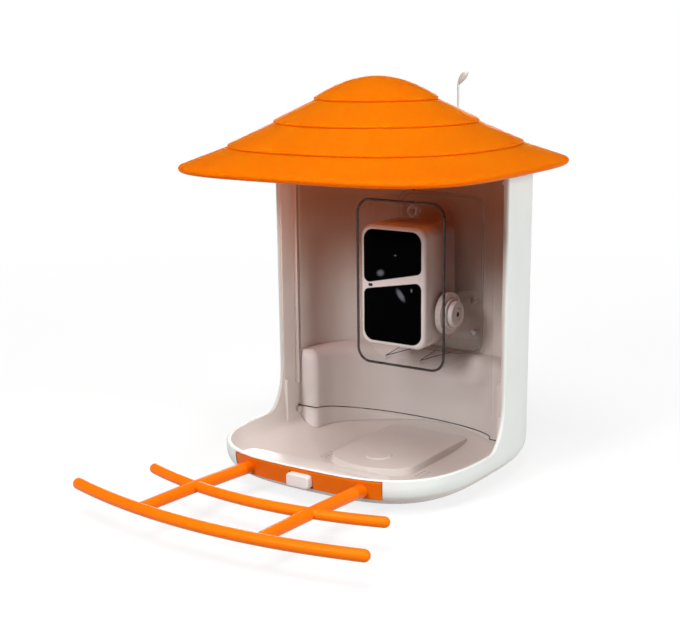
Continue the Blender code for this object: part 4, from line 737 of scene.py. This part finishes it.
# Sheet with a pocket-shaped hole: rows run from the hole's outline straight out to the sheet's edge; each side lies
# half the thickness off the middle, along its normal
def panelSheet():
    end, low, high, half = panel["end"], panel["low"], panel["high"], panel["thick"] / 2
    hole = pocketOutline(panel["holeIn"], pocket["corner"])
    middle = np.array([0.0, (pocket["low"] + pocket["high"]) / 2])
    way = hole - middle
    room = np.stack([np.full(len(way), end), np.where(way[:, 1] > 0, high - middle[1], middle[1] - low)], 1)
    edge = middle + way * (room / np.maximum(np.abs(way), 1e-6)).min(1)[:, None]
    for corner in ((end, high), (-end, high), (-end, low), (end, low)):
        edge[np.argmin(np.hypot(*(edge - corner).T))] = corner
    grid = hole + (edge - hole) * np.linspace(0, 1, 60)[:, None, None]
    x, z = grid[..., 0], grid[..., 1]
    slope = np.clip((panelDepth(x + 0.05) - panelDepth(x - 0.05)) / 0.1, -1.6, 1.6)
    size = np.sqrt(1 + slope ** 2)
    behind, front = (np.stack([x - off * slope / size, panelDepth(x) + off / size, z], -1) for off in (half, -half))
    return skin([*behind, *front[::-1], behind[0]])


# Pocket: over the rounded back edge, along the outside, half round the lip and back along the inside
def pocketShell():
    back, lip, r = pocket["back"], pocket["front"] + pocket["lip"], pocket["backEdge"]
    wall, inner = pocket["wall"], pocket["innerEdge"]
    steps = [(inward, back - along) for inward, along in rounded(r, 7)]
    steps += [(0, y) for y in np.linspace(back - r, lip, 10)[1:]]
    steps += [(wall / 2 * (1 - math.cos(a)), lip - pocket["lip"] * math.sin(a)) for a in np.linspace(0, math.pi, 9)]
    steps += [(wall, y) for y in np.linspace(lip, back - wall - inner, 10)[1:]]
    steps += [(wall + inward, back - wall - along) for along, inward in rounded(inner, 6)[1:]]
    return swept(pocketOutline, steps, "y")


# Two V-shaped gussets on the pocket's floor, as lines of (x, y); x is a share of the pocket's half
def gussetLines():
    return [np.array([(share * pocket["half"], gusset["front"]),
                      ((share + side * gusset["spread"]) * pocket["half"], gusset["back"])])
            for share in gusset["roots"] for side in (-1, 1)]


# Bars along the lines, half a width to each side
def gussets():
    shells = []
    for first, last in gussetLines():
        way = (last - first) / np.linalg.norm(last - first)
        off = np.array([-way[1], way[0]]) * gusset["half"]
        shells.append(slab(np.array([first - off, last - off, last + off, first + off]),
                           gusset["low"], gusset["high"], "z", 0.2, 2))
    return shells


# Light lines where the pocket's back corners bend the light, and the small ring that hangs from its roof
def pocketLines():
    lines = [pipe(place(pocketOutline(inward), y, "y"), pocket["lineRadius"], (0, 1, 0), 10, "loop")
             for inward, y in pocket["lines"]]
    return [*lines, turned(hangingRing["profile"], hangingRing["centre"], "y", 48), block(*hangingRing["web"], 0.3)]


# Near-black pipes as painted dark lines where polished edges catch dark reflections: the pocket's lip, the panel's foot
# and the gussets' tops
def panelEdges():
    x = np.linspace(-panel["end"], panel["end"], 160)
    foot = place(np.stack([x, panelDepth(x)], 1), panel["low"] + panel["footUp"], "z")
    lip = place(pocketOutline(pocket["rimIn"]), pocket["front"] + pocket["lip"], "y")
    tops = [pipe(place(line, gusset["edgeZ"], "z"), gusset["edgeRadius"], (0, 0, 1), 10) for line in gussetLines()]
    return [pipe(lip, pocket["rimRadius"], (0, 1, 0), 14, "loop"),
            pipe(foot, panel["footRadius"], (0, 0, 1), 10), *tops]


makePiece("clearPanel", [panelSheet(), pocketShell(), *gussets()], "feeder_body", clearPanel,
          ("clear_panel",))
makePiece("pocketLines", pocketLines(), "feeder_body", clearEdge)
makePiece("panelDot", [turned(dot["profile"], dot["centre"], "y", 24)], "feeder_body", sealRubber)
makePiece("panelEdges", panelEdges(), "feeder_body", clearRim)
print("panel made")

# Rings and underside as (half, exponent, height); the underside runs inwards
roof = dict(crown=292.3, crownExponent=1.9, lipDrop=1.5, lipIn=0.6, lipShare=0.45, brim=2.4, thick=2.9,
            rings=((44.31, 2.0, 277.5), (73.5, 2.0, 261.8), (99.0, 2.55, 245.5), (120.2, 3.7, 232.2)),
            under=((117.6, 3.7, 227.7), (99.0, 2.55, 241.0), (73.5, 2.0, 257.3), (44.31, 2.0, 273.0),
                   (22.0, 2.0, 286.0)))
rail = dict(half=99.8, thick=1.1, low=236.8, sunk=1.0, start=math.atan2(20, 99))
knuckle = dict(centres=(-40, 40), half=3.7, radius=3.4, top=((108.5, 236.2), (102.5, 238.2)))


# Even steps from one (half, exponent, height) to the next, without the first
def between(first, last, steps):
    return [tuple(a + (b - a) * share for a, b in zip(first, last)) for share in np.linspace(0, 1, steps + 1)[1:]]


# Outer line of the roof: domed crown, height falling with share^n, then slopes with a small round step at each ring
def roofLine():
    crown, lipIn, drop, share = roof["crown"], roof["lipIn"], roof["lipDrop"], roof["lipShare"]
    half, exponent, height = roof["rings"][0]
    line = [(half * s, exponent, crown - (crown - height) * s ** roof["crownExponent"])
            for s in np.linspace(0.03, 1, 22)]
    for (half, exponent, height), after in zip(roof["rings"], roof["rings"][1:]):
        out = half + lipIn / 3
        for a in quarter(5)[1:]:
            line.append((half + lipIn / 3 * math.sin(a), exponent, height - drop * share * (1 - math.cos(a))))
        for a in quarter(5)[1:]:
            line.append((out - lipIn * 1.33 * (1 - math.cos(a)), exponent,
                         height - drop * (share + (1 - share) * math.sin(a))))
        line += between((half - lipIn, exponent, height - drop), after, 11)
    return line


# Roof: the outer line, the brim's round edge, and back along the underside
def roofShell():
    angle = np.linspace(0, math.tau, 288, endpoint=False)
    half, exponent, height = roof["rings"][-1]
    brim, middle = roof["brim"], np.zeros((len(angle), 2))
    line = roofLine()
    line += [(half + brim * math.cos(a) - brim / 2, exponent, height - brim * 0.866 + brim * math.sin(a))
             for a in np.radians(np.linspace(60, -90, 12))[1:]]
    line.append(roof["under"][0])
    for first, last in zip(roof["under"], roof["under"][1:]):
        line += between(first, last, 8)
    return skin([place(middle, roof["crown"], "z"), *(ring(size, angle, z, power) for size, power, z in line),
                 place(middle, roof["crown"] - roof["thick"], "z")])


# Height of the roof's underside over a point: that of the last ring outwards which the point lies outside of
def underHeight(x, y):
    rings = roof["under"][::-1]
    best = np.full(np.shape(x), rings[0][2])
    for first, last in zip(rings, rings[1:]):
        for half, exponent, z in between(first, last, 23):
            best = np.where(np.abs(x / half) ** exponent + np.abs(y / half) ** exponent > 1, z, best)
    return best


# Rail under the roof that sits on the wall's top: four corners swung round the back, the upper two in the roof
def roofRail():
    turn = np.linspace(rail["start"], math.pi - rail["start"], 160)
    sections = []
    for side, upper in ((1, False), (-1, False), (-1, True), (1, True)):
        x, y = plan(rail["half"] + side * rail["thick"], planExponent, turn)
        level = underHeight(x, y) + rail["sunk"] if upper else rail["low"]
        sections.append(place(np.stack([x, y], 1), level, "z"))
    return capped(np.stack(sections, 1))


# Knuckles: half a circle round the hinge, running up into the roof
def roofKnuckles():
    flat = np.concatenate([arc(hinge, knuckle["radius"], np.radians(np.linspace(180, 360, 21))), knuckle["top"]])
    return [slab(flat, x - knuckle["half"], x + knuckle["half"], "x", 0.3, 2) for x in knuckle["centres"]]


makePiece("roofShell", [roofShell()], "roof", roofOrange, ("roof",), 50)
makePiece("roofRail", [roofRail()], "roof", roofOrange)
makePiece("roofKnuckles", roofKnuckles(), "roof", roofOrange)
print("roof made")

hanger = dict(x=-3.0, radius=0.9, foot=103.75, stand=124.5, bend=6.0, bendZ=207.5, low=(186.0, 195.0),
              high=(240.0, 281.0), leafSize=(9.5, 11.0), leafStart=(-3.45, 279.5), leafHalf=0.6,
              leaf=((0.0, 0.0), (0.06, 0.02), (0.62, 0.40), (0.84, 0.62), (1.0, 0.93), (0.95, 1.0), (0.50, 0.98),
                    (0.28, 0.83), (0.10, 0.55), (-0.02, 0.25)))


# Wire that rises from its boss, steps back past the brim by two quarter circles and ends in a flattened leaf
def hangerShells():
    h, turn = hanger, quarter(12)
    foot, stand, bend, bendZ = h["foot"], h["stand"], h["bend"], h["bendZ"]
    path = np.concatenate([[(foot, z) for z in h["low"]], arc((foot + bend, bendZ - bend), bend, math.pi - turn),
                           arc((stand - bend, bendZ + bend), bend, turn - math.pi / 2),
                           [(stand, z) for z in h["high"]]])
    leaf = np.array(h["leaf"]) * h["leafSize"] + h["leafStart"]
    return [pipe(place(path, h["x"], "x"), h["radius"], (1, 0, 0), 16),
            slab(leaf, stand - h["leafHalf"], stand + h["leafHalf"], "y", 0.35, 3)]


makePiece("rearHanger", hangerShells(), "feeder_body", wireGrey, ("rear_hanger",))

# Bars as (half, middle's depth, bow, height, radius); tongues and cage as two corners and an edge radius
perch = dict(plateHalf=62.6, low=13.7, high=27.0, thick=3.0, lean=1.6, taper=1.1, edge=0.6, soft=0.8,
             windowX=9.8 / 62.0, windowHalf=9.85, windowLow=14.4, windowHigh=24.5,
             rootX=47.5, tipX=48.4, rootZ=19.4, armRadius=4.6, armTaper=0.15, flareRadius=5.1, flareRun=2.475,
             outer=(116.6, 213.0, 16.5, 23.3, 4.0), inner=(96.2, 158.2, 16.2, 22.1, 3.7),
             tongue=((36, -93.6, 16.4), (44, -80.3, 22.4), 0.5),
             cageSide=((11.6, -95.6, 16.25), (13.0, -81.8, 22.65), 0.3),
             cageBack=((-12.8, -83.1, 16.35), (12.8, -81.9, 22.55), 0.25))


# Bowed bar: y = -middle + bow * (x / half)^2
def bowedBar(half, middle, bow, z, radius):
    x = np.linspace(-half, half, 72)
    return pipe(np.stack([x, -middle + bow * (x / half) ** 2, 0 * x + z], 1), radius, (0, 0, 1), 32)


# Arm from the plate to the outer bar through the inner bar's height; its root flares by an exponential
def perchArm(side):
    p = perch
    half, middle, bow, outerZ, _ = p["outer"]
    face = p["lean"] / 2 - float(planDepth(p["rootX"], tub["half"]))
    outer = -middle + bow * (p["tipX"] / half) ** 2
    y = np.linspace(face + 1.5, outer, 70)
    share = np.clip((face - y) / (face - outer), 0, 1)
    x = side * (p["rootX"] + (p["tipX"] - p["rootX"]) * share)
    z = np.interp(-y, [-face, p["inner"][1], -outer], [p["rootZ"], p["inner"][3], outerZ])
    flare = (p["flareRadius"] - p["armRadius"]) * np.exp(-np.clip(face - y, 0, None) / p["flareRun"])
    radii = p["armRadius"] * (1 - p["armTaper"] * share) + flare
    return pipe(np.stack([x, y, z], 1), radii, (0, 0, 1), 32, "flat")


# Plate: curved strip that follows the tub, leaning back and narrower at its foot, with a window for the button
def plateShell():
    p = perch
    s = np.unique(np.concatenate([np.linspace(-1, 1, 61), [-p["windowX"], p["windowX"]]]))
    edge = p["edge"] * (1 - np.cos(quarter(4)))
    marks = (p["low"] + edge, (p["windowLow"], p["windowHigh"]), p["high"] - edge)
    levels = np.unique(np.round(np.concatenate(marks), 4))[:, None]
    fall = (p["high"] - levels) / (p["high"] - p["low"])
    x = s * (p["plateHalf"] - p["taper"] * fall)
    soft = 0.5 - np.minimum(np.minimum(levels - p["low"], p["high"] - levels), 0.5)
    points = np.concatenate([
        np.stack([x, p["lean"] * fall - planDepth(x, tub["half"] - depth) + soft * share, levels + 0 * x], -1)
        for depth, share in ((0.0, p["soft"]), (p["thick"], 0.0))]).reshape(-1, 3)
    faces, count = gridFaces(*x.shape, wrap=False), x.size
    middleX, _, middleZ = points[faces].mean(1).T
    faces = faces[(np.abs(middleX) >= p["windowHalf"]) | (middleZ <= p["windowLow"]) | (middleZ >= p["windowHigh"])]
    return points, np.concatenate([faces, faces + count, borderWalls(faces, count)])


# Plate, arms, bars, the tongues that slide in the tub and the button's cage, the side parts mirrored
def perchShells():
    return [plateShell(), perchArm(-1), perchArm(1), bowedBar(*perch["outer"]), bowedBar(*perch["inner"]),
            *mirrored((perch["tongue"], perch["cageSide"]), "y"), block(*perch["cageBack"], "y")]


makePiece("perchFrame", perchShells(), "perch", perchOrange, ("perch",), 32)

button = dict(low=(-9.5, 14.7), high=(9.5, 24.2), corner=2.6, front=-104.1, back=-95.4, edge=1.3,
              ears=((-11.1, -95.0, 16.65), (11.1, -93.5, 22.25), 0.3),
              stem=((-6, -96.0, 16.65), (6, -89.5, 22.25), 0.4))
key = slab(roundRectangle(button["low"], button["high"], button["corner"], 10), button["front"], button["back"], "y",
           button["edge"], 8)
makePiece("perchButton", [key, block(*button["ears"], "y"), block(*button["stem"], "y")], "perch_button",
          warmWhite, ("perch_button",))

coil = dict(wire=0.3, radius=2.1, turns=5, steps=24, travel=2.0)


# Coil between the button's stem and the back of its cage; its depth grows evenly with the angle
def springShell(low, high):
    angle = np.linspace(0, math.tau * coil["turns"], coil["steps"] * coil["turns"] + 1)
    depth = np.linspace(low[1] + coil["wire"], high[1] - coil["wire"], len(angle))
    path = place(arc((0, (low[2] + high[2]) / 2), coil["radius"], angle), depth, "y")
    return pipe(path, coil["wire"], (0, 1, 0), 10)


springLow, springHigh = (np.array(corner) * 1000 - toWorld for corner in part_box("button_spring"))
spring = makePiece("buttonSpring", [springShell(springLow, springHigh)], "perch", brightSteel,
                   ("button_spring",), 60)
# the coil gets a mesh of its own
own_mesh(spring)
print("perch made")

# The band between the windows slants: each window's edge there as heights at its left and right
camera = dict(left=-36.5, right=21.5, low=85.8, high=179.4, front=33.0, split=43.0, splitGap=0.3, back=84.0, corner=9.0,
              cornerLeast=2.2, frontEdge=3.0, backEdge=8.0, wall=2.0, endWall=3.2, margin=3.4, windowCorner=8.5,
              bandCorner=4.8, bandLower=(129.1, 138.0), bandUpper=(133.8, 144.6),
              glass=dict(inward=0.3, front=32.8, back=34.0), gap=dict(inward=-0.15, front=32.96, back=33.6),
              microphone=dict(low=(-29.1, 131.4), high=(-25.3, 133.8), corner=1.0, front=32.9, back=33.6),
              disc=((20.0, 0), (20.0, 11.2), (22.6, 11.2), (23.0, 10.8), (23.0, 2.8), (20.5, 2.8), (20.5, 0)))


# Case's outline moved inwards; its corners shrink by as much, down to their least radius
def caseOutline(inward):
    c = camera
    return roundRectangle((c["left"] + inward, c["low"] + inward), (c["right"] - inward, c["high"] - inward),
                          max(c["corner"] - inward, c["cornerLeast"]), 14)


# Half of the case: a shell with a softly rounded outer edge and a plain inner wall
def caseShell(outer, inner, edge):
    sign, wall, end = (1 if inner > outer else -1), camera["wall"], camera["endWall"]
    steps = [(edge + 9, outer)]
    steps += [(inward, outer + sign * along) for inward, along in rounded(edge, 12)]
    steps += [(0, inner - sign * 0.5), (0.35, inner), (wall, inner), (wall, outer + sign * (edge + 0.5)),
              (wall + edge * 0.8, outer + sign * end)]
    return swept(caseOutline, steps, "y")


# Window's outline: two corners beside the case's and two at the slanted band
def windowOutline(lower, inward):
    c, sign = camera, 1 if lower else -1
    left, right = c["left"] + c["margin"] + inward, c["right"] - c["margin"] - inward
    far = (c["low"] if lower else c["high"]) + sign * (c["margin"] + inward)
    leftZ, rightZ = (z - sign * inward for z in c["bandLower" if lower else "bandUpper"])
    corners = [(left, far, c["windowCorner"]), (right, far, c["windowCorner"]), (right, rightZ, c["bandCorner"]),
               (left, leftZ, c["bandCorner"])]
    return fillet(corners[::sign], 10)


makePiece("cameraFront", [caseShell(camera["front"], camera["split"], camera["frontEdge"])], "camera",
          cameraWhite, ("camera_front_case",), 30)
makePiece("cameraBack", [caseShell(camera["back"], camera["split"] + camera["splitGap"], camera["backEdge"]),
                         turned(camera["disc"], pivot, "x", 72)], "camera", cameraWhite,
          ("camera_back_case",), 30)
glass, gap, slot = camera["glass"], camera["gap"], camera["microphone"]
for name, node, lower in (("upperWindow", "upper_window", False), ("lowerWindow", "lower_window", True)):
    makePiece(name, [slab(windowOutline(lower, glass["inward"]), glass["front"], glass["back"], "y", 0.35, 4)],
              "camera", darkWindow, (node,))
# thin near-black pieces as painted shade: the shadow gap round each window, and the microphone slot between them
gapShells = [slab(windowOutline(lower, gap["inward"]), gap["front"], gap["back"], "y", 0.1, 2)
             for lower in (False, True)]
gapShells.append(slab(roundRectangle(slot["low"], slot["high"], slot["corner"], 6), slot["front"], slot["back"], "y",
                      0.1, 2))
makePiece("windowGaps", gapShells, "camera", sealRubber)

# Rings of the knob as (x, radius, share of the ribs' depth)
knob = dict(ribs=24, ribDepth=0.018, rings=(
    (29.3, 2.8, 0), (29.3, 11.2, 0), (29.6, 11.7, 0), (30.8, 11.7, 0), (31.1, 11.3, 0), (31.1, 8.6, 0), (31.8, 8.6, 0),
    (31.8, 9.7, 0), (32.1, 10.0, 1), (34.6, 10.0, 1), (35.3, 9.6, 1), (35.6, 9.0, 0), (35.6, 6.2, 0), (35.3, 5.9, 0),
    (35.3, 5.2, 0), (35.6, 4.9, 0), (35.6, 4.5, 0), (32.3, 4.5, 0), (32.3, 2.8, 0), (29.3, 2.8, 0)))


# Knob: radius * (1 - depth * ((1 + cos(ribs * angle)) / 2)^3) on the ribbed rings
def knobShell():
    angle = np.linspace(0, math.tau, 144, endpoint=False)
    wave = knob["ribDepth"] * (0.5 + 0.5 * np.cos(angle * knob["ribs"])) ** 3
    return skin([place(arc(pivot, radius * (1 - share * wave), angle), x, "x") for x, radius, share in knob["rings"]])


makePiece("pivotKnob", [knobShell()], "knob", warmWhite, ("pivot_knob",), 30)
print("camera made")

studio = dict(floor=((-4.0, -4.0, 0.0), (4.0, -4.0, 0.0), (4.0, 5.0, 0.0), (-4.0, 5.0, 0.0)), seenGrey=0.96,
              litGrey=0.38, glowNear=0.3, glowFar=1.1, glowLow=0.80, sky=(0.95, 0.97, 1.0, 1), skyStrength=0.04)


# Floor: camera, glossy and transmitted rays see a glow that grows with the distance from the middle, others a grey
def studioFloor():
    mesh = bpy.data.meshes.new("studioFloor")
    mesh.from_pydata(studio["floor"], [], [(0, 1, 2, 3)])
    floor = bpy.data.objects.new("studioFloor", mesh)
    bpy.context.scene.collection.objects.link(floor)
    material = bpy.data.materials.new("paleFloor")
    material.use_nodes = True
    tree = material.node_tree
    shader, ray = tree.nodes["Principled BSDF"], addNode(tree, "LightPath").outputs
    near = calc(tree, "MAXIMUM", ray["Is Camera Ray"], ray["Is Glossy Ray"])
    seen = calc(tree, "MAXIMUM", near, ray["Is Transmission Ray"])
    away = lengthOf(tree, addNode(tree, "TexCoord").outputs["Object"])
    share = ranged(tree, away, studio["glowNear"], studio["glowFar"], studio["glowLow"], 1.0)
    tones = ((studio[key],) * 3 + (1,) for key in ("litGrey", "seenGrey"))
    feed(tree, shader.inputs["Base Color"], mixed(tree, ray["Is Camera Ray"], *tones))
    feed(tree, shader.inputs["Roughness"], 0.9)
    feed(tree, shader.inputs["Specular IOR Level"], 0.1)
    blend = addNode(tree, "MixShader", {0: calc(tree, "MULTIPLY", seen, share), 1: shader.outputs[0],
                                        2: addNode(tree, "Emission").outputs[0]})
    feed(tree, tree.nodes["Material Output"].inputs["Surface"], blend.outputs[0])
    mesh.materials.append(material)


# World: white to the camera and through clear walls, faint for all other rays
def studioWorld():
    world = bpy.data.worlds.new("studio")
    bpy.context.scene.world = world
    world.use_nodes = True
    tree = world.node_tree
    soft, ray = tree.nodes["Background"], addNode(tree, "LightPath").outputs
    feed(tree, soft.inputs["Color"], studio["sky"])
    feed(tree, soft.inputs["Strength"], studio["skyStrength"])
    white = addNode(tree, "Background", {"Color": (1, 1, 1, 1), "Strength": 1.0})
    seen = calc(tree, "MAXIMUM", ray["Is Camera Ray"], ray["Is Transmission Ray"])
    blend = addNode(tree, "MixShader", {0: seen, 1: soft.outputs[0], 2: white.outputs[0]})
    feed(tree, tree.nodes["World Output"].inputs["Surface"], blend.outputs[0])


# Area lamp: place and target in metres, turned so that its -Z looks at the target
def softLamp(name, position, target, size, power, colour=(1, 1, 1)):
    lamp = bpy.data.lights.new(name, "AREA")
    lamp.shape = "RECTANGLE"
    lamp.size, lamp.size_y = size
    lamp.energy = power
    lamp.color = colour
    holder = bpy.data.objects.new(name, lamp)
    bpy.context.scene.collection.objects.link(holder)
    holder.location = position
    holder.rotation_euler = (Vector(target) - Vector(position)).to_track_quat("-Z", "Y").to_euler()
    return holder


studioFloor()
studioWorld()
softLamp("sideLamp", (1.9, 0.0, 0.65), (0, 0, 0.12), (1.0, 1.0), 27)
softLamp("topLamp", (0.1, -0.75, 1.95), (0, 0, 0.1), (1.2, 1.2), 34)
softLamp("frontLamp", (-0.35, -1.85, 1.15), (0, 0, 0.12), (0.5, 0.5), 25)
softLamp("backLamp", (-1.1, 1.8, 0.3), (0, 0, 0.12), (0.8, 0.5), 16)
# light that comes through the translucent roof, from lamps that the camera doesn't see
for glow in (softLamp("roofGlow", (0, 0.05, 0.232), (0, 0.05, 0), (0.15, 0.15), 0.012, (1.0, 0.18, 0.01)),
             softLamp("eaveGlow", (-0.045, 0.005, 0.225), (-0.1, 0.01, 0.17), (0.06, 0.06), 0.02, (1.0, 0.25, 0.05))):
    glow.visible_camera = False

photo = dict(yaw=34.44, pitch=12.31, roll=-0.65, place=(0.52061, -0.76197, 0.32637), lens=70.44, sensor=36.0,
             clip=(0.02, 20))


# The photograph's camera: yaw about the vertical and pitch down give its forward, roll turns it about that
def photoCamera():
    yaw, pitch, roll = (math.radians(photo[key]) for key in ("yaw", "pitch", "roll"))
    forward = np.array([-math.sin(yaw) * math.cos(pitch), math.cos(yaw) * math.cos(pitch), -math.sin(pitch)])
    right = np.array([math.cos(yaw), math.sin(yaw), 0.0])
    up = np.cross(right, forward)
    across = right * math.cos(roll) + up * math.sin(roll)
    above = -right * math.sin(roll) + up * math.cos(roll)
    lens = bpy.data.cameras.new("photoCamera")
    lens.sensor_width, lens.lens = photo["sensor"], photo["lens"]
    lens.clip_start, lens.clip_end = photo["clip"]
    holder = bpy.data.objects.new("photoCamera", lens)
    bpy.context.scene.collection.objects.link(holder)
    columns = np.eye(4)
    columns[:3] = np.stack([across, above, -forward, photo["place"]], 1)
    holder.matrix_world = Matrix(columns.tolist())
    bpy.context.scene.camera = holder


photoCamera()
bpy.context.scene.view_settings.view_transform = "Standard"
# rays to a lamp cross many clear walls here
bpy.context.scene.cycles.transparent_max_bounces = 32
print("studio made")
